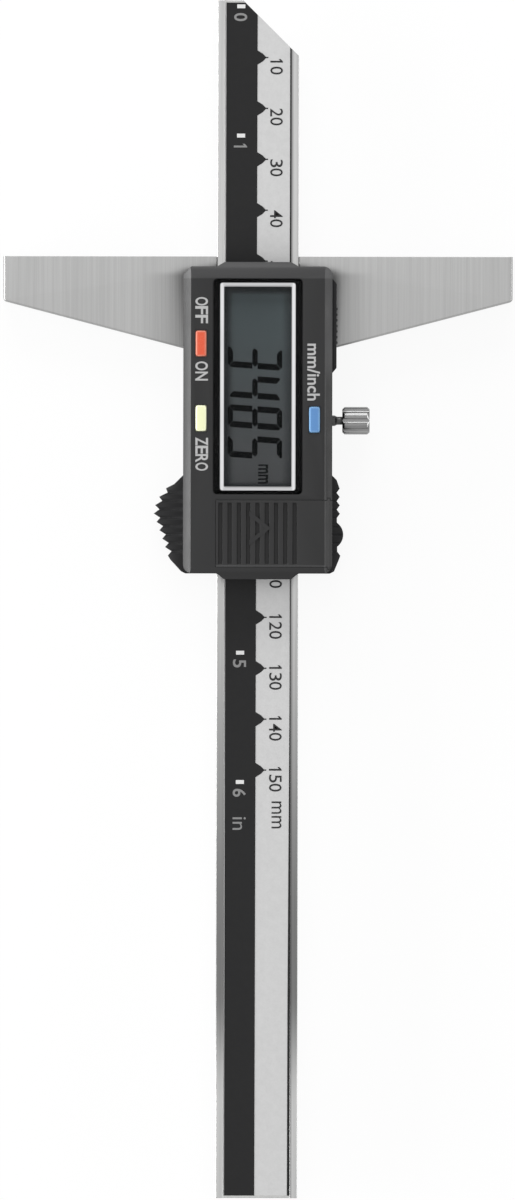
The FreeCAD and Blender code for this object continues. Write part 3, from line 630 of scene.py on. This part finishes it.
class Workbench:
    """Models pieces with Blender's operators, as by hand."""

    def __init__(self, frame: dict) -> None:
        """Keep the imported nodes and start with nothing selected."""
        self.nodes = frame["nodes"]
        self.materials: dict[str, bpy.types.Material] = {}
        self.pick()

    def pick(self, *pieces: Piece) -> None:
        """Select these pieces alone and make the first of them active."""
        bpy.ops.object.select_all(action="DESELECT")
        for piece in pieces:
            piece.select_set(True)
        if pieces:
            bpy.context.view_layer.objects.active = pieces[0]

    @contextmanager
    def edited(self, piece: Piece) -> Iterator[None]:
        """Open the whole mesh of a piece for editing, and close it again."""
        self.pick(piece)
        bpy.ops.object.mode_set(mode="EDIT")
        bpy.ops.mesh.select_all(action="SELECT")
        yield
        bpy.ops.object.mode_set(mode="OBJECT")

    def modify(self, piece: Piece, kind: str, **settings: object) -> None:
        """Put a modifier on a piece and apply it."""
        change = piece.modifiers.new(kind.lower(), kind)
        for key, value in settings.items():
            setattr(change, key, value)
        self.pick(piece)
        bpy.ops.object.modifier_apply(modifier=change.name)

    def weld(self, piece: Piece) -> None:
        """Join the doubled corners of a piece."""
        with self.edited(piece):
            bpy.ops.mesh.remove_doubles(threshold=WELD)

    def coat(self, piece: Piece, finish: Finish) -> None:
        """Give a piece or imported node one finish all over."""
        if finish.name not in self.materials:
            self.materials[finish.name] = finish.mix()
        material = self.materials[finish.name]
        if not piece.material_slots:
            piece.data.materials.append(material)
        for place in piece.material_slots:
            place.material = material

    def dress(self, finish: Finish, *names: str) -> None:
        """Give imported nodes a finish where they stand."""
        for name in names:
            self.coat(self.nodes[name], finish)

    def place(self, piece: Piece, name: str, matrix: Matrix) -> Piece:
        """Name a piece, move its mesh to its place and leave its object at the origin."""
        piece.name = name
        piece.data.name = name
        piece.data.transform(matrix)
        piece.matrix_world = Matrix.Identity(4)
        return piece

    def finish_piece(self, piece: Piece, body: Body, finish: Finish) -> None:
        """Coat a piece, let it ride on its body and log its triangle count."""
        self.coat(piece, finish)
        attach(piece, body.value)
        triangles = sum(len(face.vertices) - 2 for face in piece.data.polygons)
        log.info("%s rides on %s, %d triangles", piece.name, body.value, triangles)

    def softened(self, name: str, node: str, width: float) -> Piece:
        """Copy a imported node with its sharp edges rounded, and let the copy stand for it."""
        piece = linked(name, self.nodes[node].data.copy())
        piece.data.name = name
        piece.data.materials.clear()
        with self.edited(piece):
            bpy.ops.mesh.remove_doubles(threshold=WELD)
            bpy.ops.mesh.dissolve_limited(angle_limit=math.radians(0.6))
        limit = {"limit_method": "ANGLE", "angle_limit": math.radians(30), "use_clamp_overlap": True}
        self.modify(piece, "BEVEL", width=width * MILLIMETRE, segments=2, **limit)
        bpy.ops.object.shade_smooth_by_angle(angle=math.radians(32))
        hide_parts(node)
        return piece

    def rounded(self, name: str, node: str, width: float, body: Body, finish: Finish) -> None:
        """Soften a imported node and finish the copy."""
        self.finish_piece(self.softened(name, node, width), body, finish)

    def flat(self, name: str, outlines: list[list[Point]], low: float, thickness: float) -> Piece:
        """Cut closed outlines out of thin sheet that lies at a height; one inside another is a hole."""
        curve = bpy.data.curves.new(name, "CURVE")
        curve.dimensions = "2D"
        curve.fill_mode = "BOTH"
        curve.extrude = thickness / 2 * MILLIMETRE
        for outline in outlines:
            spline = curve.splines.new("POLY")
            spline.points.add(len(outline) - 1)
            for point, (x, y) in zip(spline.points, outline):
                point.co = (x * MILLIMETRE, y * MILLIMETRE, 0.0, 1.0)
            spline.use_cyclic_u = True
        piece = linked(name, curve)
        self.pick(piece)
        bpy.ops.object.convert(target="MESH")
        self.weld(piece)
        height = (low + thickness / 2) * MILLIMETRE
        return self.place(piece, name, Matrix.Translation((0.0, 0.0, height)))

    def round_corners(self, piece: Piece, middle: Point, half: Point, radius: float, low: float) -> None:
        """Cut the four upright corners of a rectangular piece round, from a height upwards."""
        steps = 6
        spare = 0.05
        height = 1.0
        turns = [math.pi / 2 * step / steps for step in range(steps + 1)]
        outlines = []
        for side_x, side_y in ((1, 1), (1, -1), (-1, 1), (-1, -1)):
            x = middle[0] + side_x * (half[0] - radius)
            y = middle[1] + side_y * (half[1] - radius)
            reach_x = side_x * radius
            reach_y = side_y * radius
            far_x = x + side_x * (radius + spare)
            far_y = y + side_y * (radius + spare)
            arc = [(x + reach_x * math.cos(turn), y + reach_y * math.sin(turn)) for turn in turns]
            outlines.append(arc + [(x, far_y), (far_x, far_y), (far_x, y)])
        cutter = self.flat("corner_cutter", outlines, low, height)
        self.modify(piece, "BOOLEAN", operation="DIFFERENCE", solver="EXACT", object=cutter)
        bpy.data.objects.remove(cutter)

    def lettering(self, name: str, words: str, box: Box, low: float) -> Piece:
        """Set words in ink that read towards the rod's far end, fitted into a box."""
        bpy.ops.object.text_add(location=(0.0, 0.0, 0.0))
        piece = bpy.context.object
        piece.data.body = words
        piece.data.size = 1.0
        piece.data.extrude = 0.5
        piece.data.offset = box.weight
        piece.data.resolution_u = 4
        bpy.ops.object.convert(target="MESH")
        self.weld(piece)
        corners = [corner.co for corner in piece.data.vertices]
        left, right = (pick(corner.x for corner in corners) for pick in (min, max))
        foot, head = (pick(corner.y for corner in corners) for pick in (min, max))
        centre = Matrix.Translation((-(left + right) / 2, -(foot + head) / 2, 0.5))
        scale = Matrix.Diagonal((box.length / (right - left), box.height / (head - foot), INK, 1.0))
        turn = Matrix.Rotation(-math.pi / 2, 4, "Z")
        move = Matrix.Translation((box.x * MILLIMETRE, box.y * MILLIMETRE, low * MILLIMETRE))
        return self.place(piece, name, move @ Matrix.Scale(MILLIMETRE, 4) @ turn @ scale @ centre)

    def figure_one(self, box: Box, low: float) -> Piece:
        """Return a figure one in ink with its flag, in the middle of a box."""
        right = ((0.13, 0.0), (0.13, 1.0), (-0.02, 1.0), (-0.32, 0.82))
        left = ((-0.32, 0.66), (-0.10, 0.78), (-0.10, 0.0))
        outline = [(box.x + (up - 0.5) * box.height, box.y - on * box.length) for on, up in right + left]
        return self.flat("figure_one", [outline], low, INK)

    def spaced(self, words: str, start: Box, pitch: float, low: float) -> list[Piece]:
        """Return figures or letters in boxes like the first, one after another down the rod."""
        pieces = []
        for place, figure in enumerate(words):
            box = replace(start, y=start.y - pitch * place)
            if figure == "1":
                pieces.append(self.figure_one(box, low))
            else:
                pieces.append(self.lettering("figure", figure, box, low))
        return pieces

    def joined(self, name: str, pieces: list[Piece]) -> Piece:
        """Join pieces into one with a name."""
        self.pick(*pieces)
        bpy.ops.object.join()
        piece = bpy.context.object
        piece.name = name
        piece.data.name = name
        return piece

    def block(self, name: str, low: Vector, high: Vector, edge: float) -> Piece:
        """Make a block between two corners with rounded edges, all in millimetres."""
        bpy.ops.mesh.primitive_cube_add(size=1.0, location=(0.0, 0.0, 0.0))
        size = (high - low) * MILLIMETRE
        middle = Matrix.Translation((low + high) / 2 * MILLIMETRE)
        piece = self.place(bpy.context.object, name, middle @ Matrix.Diagonal((*size, 1.0)))
        with self.edited(piece):
            bpy.ops.mesh.bevel(offset=edge * MILLIMETRE, segments=2, affect="EDGES")
        bpy.ops.object.shade_smooth_by_angle(angle=math.radians(35))
        return piece


BASE_STEEL = BaseSteel("base_steel", (0.357, 0.357, 0.355), 0.36, Run.ALONG_ROD, spread=0.08)
ROD_STEEL = RodSteel("rod_steel", (0.435, 0.435, 0.432), 0.30, Run.ALONG_ROD, spread=0.10)
FRAME_STEEL = BrushedSteel("frame_steel", (0.42, 0.42, 0.42), 0.42, Run.ALONG_ROD)
SCREW_STEEL = BrushedSteel("screw_steel", (0.46, 0.46, 0.46), 0.30, Run.ACROSS_ROD)
KNOB_STEEL = KnobSteel("knob_steel", (0.22, 0.22, 0.22), 0.24, Run.ROUND_SCREW, spread=0.2)
GIB_BRONZE = BrushedSteel("gib_bronze", (0.60, 0.38, 0.16), 0.35, Run.ALONG_ROD)
CELL_STEEL = BrushedSteel("cell_steel", (0.66, 0.66, 0.65), 0.20, Run.ALONG_ROD, spread=0.06)
SPRING_STEEL = BrushedSteel("spring_steel", (0.58, 0.57, 0.54), 0.26, Run.ACROSS_ROD, spread=0.08)
CONTACT_GOLD = BrushedSteel("contact_gold", (0.82, 0.56, 0.18), 0.25, Run.ACROSS_ROD, spread=0.08)
DISPLAY_SHELL = ShellPlastic("display_shell", (0.0075, 0.0075, 0.008), 0.46, specular=0.38)
DOOR_SHELL = GroovedPlastic("door_shell", (0.0096, 0.0096, 0.010), 0.46, specular=0.37)
BACK_SHELL = MouldedPlastic("back_shell", (0.003, 0.003, 0.0035), 0.46, specular=0.2)
PORT_PLASTIC = MouldedPlastic("port_plastic", (0.003, 0.003, 0.0035), 0.42, specular=0.24)
SWITCH_PLASTIC = MouldedPlastic("switch_plastic", (0.03, 0.03, 0.03), 0.4)
STEM_PLASTIC = MouldedPlastic("stem_plastic", (0.62, 0.60, 0.52), 0.45)
PAD_NYLON = MouldedPlastic("pad_nylon", (0.70, 0.69, 0.62), 0.5)
STRIP_FIBRE = MouldedPlastic("strip_fibre", (0.30, 0.28, 0.12), 0.5)
CHIP_RESIN = MouldedPlastic("chip_resin", (0.008, 0.008, 0.008), 0.18, depth=0.002)
CAP = {"roughness": 0.25, "spread": 0.05, "specular": 0.4}
# Each cap's rim tone is a painted highlight.
RED_PLASTIC = CapPlastic(
    "red_plastic", (0.74, 0.103, 0.042), rim_tone=(0.68, 0.24, 0.17), middle=(-11.13, -17.21), **CAP
)
YELLOW_PLASTIC = CapPlastic(
    "yellow_plastic", (0.92, 0.94, 0.59), rim_tone=(0.95, 0.97, 0.69), middle=(-11.13, -31.86), **CAP
)
BLUE_PLASTIC = CapPlastic(
    "blue_plastic", (0.102, 0.26, 0.55), rim_tone=(0.20, 0.39, 0.64), middle=(11.13, -32.11), **CAP
)
SILVER_FILM = Print("silver_film", (0.55, 0.55, 0.55), 0.40, 0.30, 0.12, speck=0.4)
BLACK_FILM = Print("black_film", (0.015, 0.015, 0.0155), 0.5, spread=0.2, specular=0.15, speck=0.4)
DARK_INK = Print("dark_ink", (0.028, 0.028, 0.029), 0.5, specular=0.15)
WHITE_INK = Print("white_ink", (0.74, 0.74, 0.74), 0.5)
LEGEND_INK = Print("legend_ink", (0.47, 0.47, 0.47), 0.5)
INCH_INK = Print("inch_ink", (0.24, 0.24, 0.24), 0.5)
MASK_PRINT = Print("mask_print", (0.0025, 0.0025, 0.003), 0.5, specular=0.1)
BEZEL_PRINT = BezelPrint("bezel_print", (0.58, 0.58, 0.59), 0.4)
DIGIT_INK = Print("digit_ink", (0.0015, 0.002, 0.0025), 0.5, specular=0.03)
FAINT_INK = Print("faint_ink", (0.010, 0.012, 0.013), 0.5, specular=0.05)
WINDOW_CLEAR = ClearPlastic("window_clear")
# The third tone is painted shade at the glass's rim.
LCD_GLASS = DisplayGlass("lcd_glass", (0.102, 0.130, 0.139), (0.106, 0.111, 0.116), (0.028, 0.033, 0.037))
BOARD_GREEN = CircuitBoard("board_green", (0.02, 0.12, 0.05), (0.05, 0.24, 0.08))
ZEBRA_RUBBER = StripedRubber("zebra_rubber", (0.02, 0.02, 0.02), (0.35, 0.35, 0.36))


@dataclass
class RodDress:
    """The rod and the scale that is printed on it. Lengths are in millimetres."""

    tip_y: float = 50.4
    end_y: float = -185.0
    band_left: float = 6.31
    band_left_lean: float = 0.05
    top_y: float = 49.9
    foot_y: float = -184.5
    label_top: float = 6.85
    film: float = 0.03
    band_edge: float = -0.15
    band_lean: float = 0.25
    bevel_x: float = -2.57
    mark_first_y: float = 49.11
    mark_pitch: float = 10.0
    mark_count: int = 15
    mark_half: float = 1.4
    waist_reach: float = 1.05
    waist_half: float = 0.75
    mark_reach: float = 1.65
    line_reach: float = 2.1
    line_half: float = 0.12
    figure: Box = Box(3.58, 0.0, 1.56, 2.48, 0.004)
    figure_lead: float = 1.68
    figure_pitch: float = 1.77
    unit: Box = Box(3.83, -109.7, 5.3, 1.95)
    inch_first_y: float = 49.16
    inch: float = 25.4
    inch_count: int = 7
    inch_x: float = -3.38
    inch_width: float = 1.6
    inch_height: float = 0.76
    inch_figure: Box = Box(-3.5, 0.0, 1.6, 2.6, 0.015)
    inch_figure_lead: float = 2.12
    inch_unit: Box = Box(-3.5, -111.4, 2.5, 2.6)
    # The dark line along the label's right edge is partly printed border and partly painted shade of the gap
    # beside it.
    border_left: float = 6.24
    border_right: float = 6.45
    border_turns: tuple[Point, ...] = ((6.24, -20.0), (6.35, -50.0), (6.35, -85.0), (6.06, -145.0))
    border_end: float = 6.0

    def band_outline(self) -> list[Point]:
        """Return the outline of the black band, with a tooth and a fine line at each centimetre."""
        shoulder = self.top_y - (self.band_edge - self.bevel_x)
        outline = [(-self.band_left - self.band_left_lean, self.foot_y), (-self.band_left, self.top_y)]
        outline += [(self.bevel_x, self.top_y), (self.band_edge, shoulder)]
        half = [(0.0, self.mark_half), (self.waist_reach, self.waist_half)]
        half += [(self.mark_reach, self.line_half), (self.line_reach, self.line_half)]
        tooth = half + [(x, -y) for x, y in reversed(half)]
        for place in range(1, self.mark_count + 1):
            middle = self.mark_first_y - self.mark_pitch * place
            edge = self.edge_at(middle)
            outline += [(edge + x, middle + y) for x, y in tooth]
        outline.append((self.edge_at(self.foot_y), self.foot_y))
        return outline

    def edge_at(self, y: float) -> float:
        """Return where the black band ends across the rod, a little further left towards the rod's end."""
        return self.band_edge - self.band_lean * (self.tip_y - y) / (self.tip_y - self.end_y)

    def border_outline(self) -> list[Point]:
        """Return the outline of the thin dark line along the label's right edge, which is partly its printed
        border and partly painted shade of the gap beside the label.
        """
        left, right = self.border_left, self.border_right
        outline = [(right, self.foot_y), (right, self.top_y - (right - self.bevel_x))]
        outline.append((left, self.top_y - (left - self.bevel_x)))
        return outline + list(self.border_turns) + [(self.border_end, self.foot_y)]

    def numbers(self, bench: Workbench) -> list[Piece]:
        """Return the millimetre numbers and their unit."""
        pieces = []
        for place in range(1, self.mark_count + 1):
            words = str(round(self.mark_pitch) * place)
            lead = self.figure_lead - self.figure_pitch * (len(words) - 1) / 2
            y = self.mark_first_y - self.mark_pitch * place - lead
            pieces += bench.spaced(words, replace(self.figure, y=y), self.figure_pitch, self.label_top)
        pieces.append(bench.lettering("scale_unit", "mm", self.unit, self.label_top))
        return pieces

    def inch_blocks(self) -> list[list[Point]]:
        """Return the outlines of the white blocks at each inch."""
        outlines = []
        half_x = self.inch_width / 2
        half_y = self.inch_height / 2
        corners = ((-1, -1), (1, -1), (1, 1), (-1, 1))
        for place in range(self.inch_count):
            y = self.inch_first_y - self.inch * place
            outlines.append([(self.inch_x + x * half_x, y + up * half_y) for x, up in corners])
        return outlines

    def inch_numbers(self, bench: Workbench) -> list[Piece]:
        """Return the white inch numbers and their unit."""
        height = self.label_top + self.film
        pieces = []
        for place in range(self.inch_count):
            y = self.inch_first_y - self.inch * place - self.inch_figure_lead
            pieces += bench.spaced(str(place), replace(self.inch_figure, y=y), 0.0, height)
        pieces.append(bench.lettering("inch_unit", "in", self.inch_unit, height))
        return pieces

    def build(self, bench: Workbench) -> None:
        """Make the prints and coat the rod."""
        bench.rounded("rod_blade", "depth_rod", 0.12, Body.ROD, ROD_STEEL)
        bench.dress(STRIP_FIBRE, "scale_strip")
        bench.dress(SILVER_FILM, "scale_label")
        bench.dress(SCREW_STEEL, "rod_stop_screw")
        above = self.label_top + self.film
        prints = [
            (bench.flat("scale_band", [self.band_outline()], self.label_top, self.film), BLACK_FILM),
            # The border is partly print and partly painted shade of the gap beside the label.
            (bench.flat("scale_border", [self.border_outline()], self.label_top, self.film), BLACK_FILM),
            (bench.joined("scale_numbers", self.numbers(bench)), DARK_INK),
            (bench.flat("inch_blocks", self.inch_blocks(), above, INK), WHITE_INK),
            (bench.joined("inch_numbers", self.inch_numbers(bench)), INCH_INK),
        ]
        for piece, finish in prints:
            bench.finish_piece(piece, Body.ROD, finish)


@dataclass
class HeadDress:
    """The base, the frame and the two shells, and the words beside the buttons: text, room and pitch."""

    words: tuple[tuple[str, Box, float], ...] = (
        ("OFF", Box(-11.03, -8.94, 1.65, 2.5, 0.018), 1.74),
        ("ON", Box(-11.03, -21.6, 1.75, 2.5, 0.018), 2.0),
        ("ZERO", Box(-10.97, -36.4, 1.6, 2.5, 0.018), 1.65),
    )
    unit: Box = Box(10.94, -22.78, 11.16, 2.5, 0.018)

    def legends(self, bench: Workbench) -> None:
        """Print the words beside the buttons."""
        pieces = []
        for text, start, pitch in self.words:
            letters = bench.spaced(text, start, pitch, FRONT_Z)
            pieces.append(bench.joined("legend_" + text.lower(), letters))
        pieces.append(bench.lettering("legend_unit", "mm/inch", self.unit, FRONT_Z))
        for piece in pieces:
            bench.finish_piece(piece, Body.HEAD, LEGEND_INK)

    def build(self, bench: Workbench) -> None:
        """Soften and coat the base, the frame and the shells."""
        bench.rounded("steel_base", "measuring_base", 0.06, Body.HEAD, BASE_STEEL)
        bench.rounded("display_shell", "front_housing", 0.2, Body.HEAD, DISPLAY_SHELL)
        bench.rounded("back_shell", "rear_cover", 0.2, Body.HEAD, BACK_SHELL)
        bench.dress(FRAME_STEEL, "slider_frame")
        bench.dress(SCREW_STEEL, "base_screws", "gib_screws", "housing_screws", "board_screws")
        bench.dress(GIB_BRONZE, "gib_strip")
        self.legends(bench)


@dataclass
class DisplayDress:
    """The window, the glass and the reading. Lengths are in millimetres."""

    glass_z: float = 12.9
    reading: str = "3485"
    foot_x: float = -5.91
    first_y: float = -17.28
    pitch: float = 5.88
    digit_width: float = 4.45
    digit_height: float = 10.7
    slant: float = 0.074
    level_stroke: float = 1.05
    upright_stroke: float = 1.2
    corner: float = 0.65
    gap: float = 0.06
    waist: float = 0.5
    inner: float = 0.4
    point: float = 0.5
    sign: Box = Box(1.1, -42.78, 3.8, 2.0, 0.022)

    def segments(self) -> dict[str, list[Point]]:
        """Return the outline of each segment by its usual letter, mitred where two of them meet."""
        wide, high = self.digit_width, self.digit_height
        level, upright = self.level_stroke, self.upright_stroke
        cut, gap = self.corner, self.gap
        middle = high / 2
        top = [(cut, high), (wide - cut, high), (wide - cut / 2 - gap, high - cut / 2)]
        top += [(wide - upright - gap, high - level), (upright + gap, high - level)]
        top.append((cut / 2 + gap, high - cut / 2))
        side = [(0.0, high - cut), (cut / 2, high - cut / 2 - gap), (upright, high - level - gap)]
        side += [(upright, middle + self.waist + gap), (0.0, middle + self.waist)]
        inner = self.inner
        half = level / 2
        near = inner + self.point
        far = wide - near
        bar = [(inner, middle), (near, middle + half), (far, middle + half)]
        bar += [(wide - inner, middle), (far, middle - half), (near, middle - half)]
        return {
            "a": top,
            "b": [(wide - on, up) for on, up in side],
            "c": [(wide - on, high - up) for on, up in side],
            "d": [(on, high - up) for on, up in top],
            "e": [(on, high - up) for on, up in side],
            "f": side,
            "g": bar,
        }

    def digit(self, figure: str, place: int) -> list[list[Point]]:
        """Return the outlines of one figure, at its place in the reading."""
        lit = {"3": "abcdg", "4": "bcfg", "8": "abcdefg", "5": "acdfg"}
        segments = self.segments()
        start_y = self.first_y - self.pitch * place
        outlines = []
        for letter in lit[figure]:
            corners = segments[letter]
            outlines.append([(self.foot_x + up, start_y - on - up * self.slant) for on, up in corners])
        return outlines

    def build(self, bench: Workbench) -> None:
        """Make the reading and coat the display."""
        outlines = []
        for place, figure in enumerate(self.reading):
            outlines += self.digit(figure, place)
        digits = bench.flat("display_digits", outlines, self.glass_z, INK)
        bench.finish_piece(digits, Body.HEAD, DIGIT_INK)
        sign = bench.lettering("display_unit", "mm", self.sign, self.glass_z)
        bench.finish_piece(sign, Body.HEAD, FAINT_INK)
        bench.dress(WINDOW_CLEAR, "window_plate")
        bench.dress(MASK_PRINT, "window_mask")
        bench.dress(BEZEL_PRINT, "display_bezel")
        bench.dress(LCD_GLASS, "lcd_panel")


@dataclass
class ControlDress:
    """The buttons, the clamping screw and the sliding doors. Lengths are in millimetres."""

    cap_corner: float = 0.6
    cap_low: float = 15.1
    arrow_x: float = 0.5
    arrow_y: float = -53.4
    arrow_half: float = 3.4
    arrow_reach: float = 2.1
    arrow_foot: float = 1.05
    arrow_nose: float = 1.2
    arrow_rise: float = 0.12
    grip_count: int = 7
    grip_pitch: float = 1.1
    grip_y: float = -13.65
    grip_x: float = 15.45
    grip_z: float = 9.7
    grip_half: float = 1.45
    grip_width: float = 0.5
    grip_rise: float = 0.18

    def arrow(self, bench: Workbench) -> None:
        """Raise a plain arrow on the ribs, which shows the way that the battery door slides."""
        tip = self.arrow_x + self.arrow_reach
        tail = self.arrow_x - self.arrow_reach
        half = self.arrow_half
        y = self.arrow_y
        inner = half - self.arrow_foot
        outline = [(tip, y), (tail, y + half), (tail, y + inner), (tip - self.arrow_nose, y)]
        outline += [(tail, y - inner), (tail, y - half)]
        piece = bench.flat("door_arrow", [outline], FRONT_Z - 0.05, self.arrow_rise)
        bench.finish_piece(piece, Body.BATTERY_DOOR, DISPLAY_SHELL)

    def grips(self, bench: Workbench) -> None:
        """Add the finger ribs on the port door."""
        first = self.grip_y - self.grip_pitch * (self.grip_count - 1) / 2
        half = Vector((self.grip_rise, self.grip_width / 2, self.grip_half))
        ribs = []
        for place in range(self.grip_count):
            middle = Vector((self.grip_x, first + self.grip_pitch * place, self.grip_z))
            ribs.append(bench.block("port_rib", middle - half, middle + half, 0.12))
        piece = bench.joined("port_door_ribs", ribs)
        bench.finish_piece(piece, Body.PORT_DOOR, PORT_PLASTIC)

    def build(self, bench: Workbench) -> None:
        """Soften and coat what the user moves."""
        caps = [
            ("red_cap", "power_button", Body.POWER, "button_red", RED_PLASTIC),
            ("yellow_cap", "zero_button", Body.ZERO, "button_yellow", YELLOW_PLASTIC),
            ("blue_cap", "unit_button", Body.UNIT, "button_blue", BLUE_PLASTIC),
        ]
        for name, node, body, slot, finish in caps:
            cap = bench.softened(name, node, 0.08)
            bench.round_corners(cap, finish.middle, finish.half, self.cap_corner, self.cap_low)
            bench.finish_piece(cap, body, finish)
        bench.dress(STEM_PLASTIC, "power_switch_stem", "zero_switch_stem", "unit_switch_stem")
        bench.rounded("clamping_screw", "lock_screw", 0.08, Body.LOCK, KNOB_STEEL)
        bench.dress(PAD_NYLON, "lock_pad")
        bench.rounded("battery_door", "battery_cover", 0.12, Body.BATTERY_DOOR, DOOR_SHELL)
        bench.rounded("port_door", "port_cover", 0.12, Body.PORT_DOOR, PORT_PLASTIC)
        self.arrow(bench)
        self.grips(bench)


@dataclass
class InsideDress:
    """The board, its parts and the button cell."""

    def build(self, bench: Workbench) -> None:
        """Coat what the shells hide."""
        bench.dress(BOARD_GREEN, "main_board")
        bench.dress(CHIP_RESIN, "chip_blob")
        bench.dress(SWITCH_PLASTIC, "switch_bodies")
        bench.dress(CONTACT_GOLD, "data_contacts")
        bench.dress(ZEBRA_RUBBER, "zebra_strips")
        bench.dress(CELL_STEEL, "battery_cell")
        bench.dress(SPRING_STEEL, "battery_plus_contact", "battery_minus_contact")


@dataclass
class Studio:
    """The floor, the light and the camera. Lengths are in metres."""

    floor_half: float = 3.0
    lens: float = 600.0
    sensor: float = 36.0
    frame_height: float = 0.23576
    centre_x: float = 0.00002
    centre_y: float = -0.06748
    focus_z: float = 0.007
    roll: float = math.radians(0.11)
    world_light: float = 0.5
    shadow_share: float = 0.1

    def floor(self) -> None:
        """Lay a white floor that shows as white to the camera and still takes a faint shadow."""
        bpy.ops.mesh.primitive_plane_add(size=2 * self.floor_half, location=(0.0, 0.0, 0.0))
        floor = bpy.context.object
        floor.name = "studio_floor"
        paint = Paint("studio_floor")
        matt = paint.value("ShaderNodeBsdfDiffuse", {"Color": WHITE})
        glow = paint.value("ShaderNodeEmission", {"Color": WHITE, "Strength": 1.0})
        shine = paint.backdrop() * (1.0 - self.shadow_share)
        floor.data.materials.append(paint.close(paint.mixed(shine, matt, glow)))

    def world(self) -> None:
        """Surround the gauge with soft light that the camera, gloss and glass see as white."""
        paint = Paint("studio_world", bpy.data.worlds)
        strength = paint.backdrop() * (1.0 - self.world_light) + self.world_light
        sky = paint.value("ShaderNodeBackground", {"Color": WHITE, "Strength": strength})
        paint.node("ShaderNodeOutputWorld", {"Surface": sky})
        bpy.context.scene.world = paint.material

    def lamp(self, name: str, place: Point3, size: Point, power: float) -> None:
        """Hang a soft lamp at a place, of a width and height and a power in watts, turned to the gauge."""
        light = bpy.data.lights.new(name, "AREA")
        light.shape = "RECTANGLE"
        light.size, light.size_y = size
        light.energy = power
        lamp = linked(name, light)
        lamp.location = place
        towards = Vector((0.0, self.centre_y, 0.0)) - Vector(place)
        lamp.rotation_euler = towards.to_track_quat("-Z", "Y").to_euler()

    def lamps(self) -> None:
        """Hang a broad lamp overhead, a low one on each side and one beyond the rod's tip."""
        self.lamp("lamp_overhead", (0.0, self.centre_y, 2.2), (2.4, 2.4), 6.0)
        self.lamp("lamp_left", (-0.9, self.centre_y, 0.13), (1.2, 0.25), 15.5)
        self.lamp("lamp_right", (0.9, self.centre_y, 0.13), (1.2, 0.25), 5.0)
        self.lamp("lamp_front", (-0.1, 1.0, 0.6), (1.0, 0.5), 6.0)

    def camera(self) -> None:
        """Stand the camera straight over the gauge, with the rod's tip at the top of the picture."""
        data = bpy.data.cameras.new("camera")
        data.type = "PERSP"
        data.lens = self.lens
        data.sensor_width = self.sensor
        data.clip_end = 20.0
        camera = linked("camera", data)
        distance = self.frame_height * self.lens / self.sensor
        camera.location = (self.centre_x, self.centre_y, self.focus_z + distance)
        camera.rotation_euler = (0.0, 0.0, self.roll)
        bpy.context.scene.camera = camera

    def build(self) -> None:
        """Set up the whole studio."""
        self.floor()
        self.world()
        self.lamps()
        self.camera()
        bpy.context.scene.view_settings.view_transform = "Standard"


def main() -> None:
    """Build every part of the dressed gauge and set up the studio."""
    logging.basicConfig(level=logging.INFO, format="%(message)s")
    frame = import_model()
    bench = Workbench(frame)
    for part in (RodDress(), HeadDress(), DisplayDress(), ControlDress(), InsideDress()):
        part.build(bench)
    Studio().build()


if __name__ == "__main__":
    main()
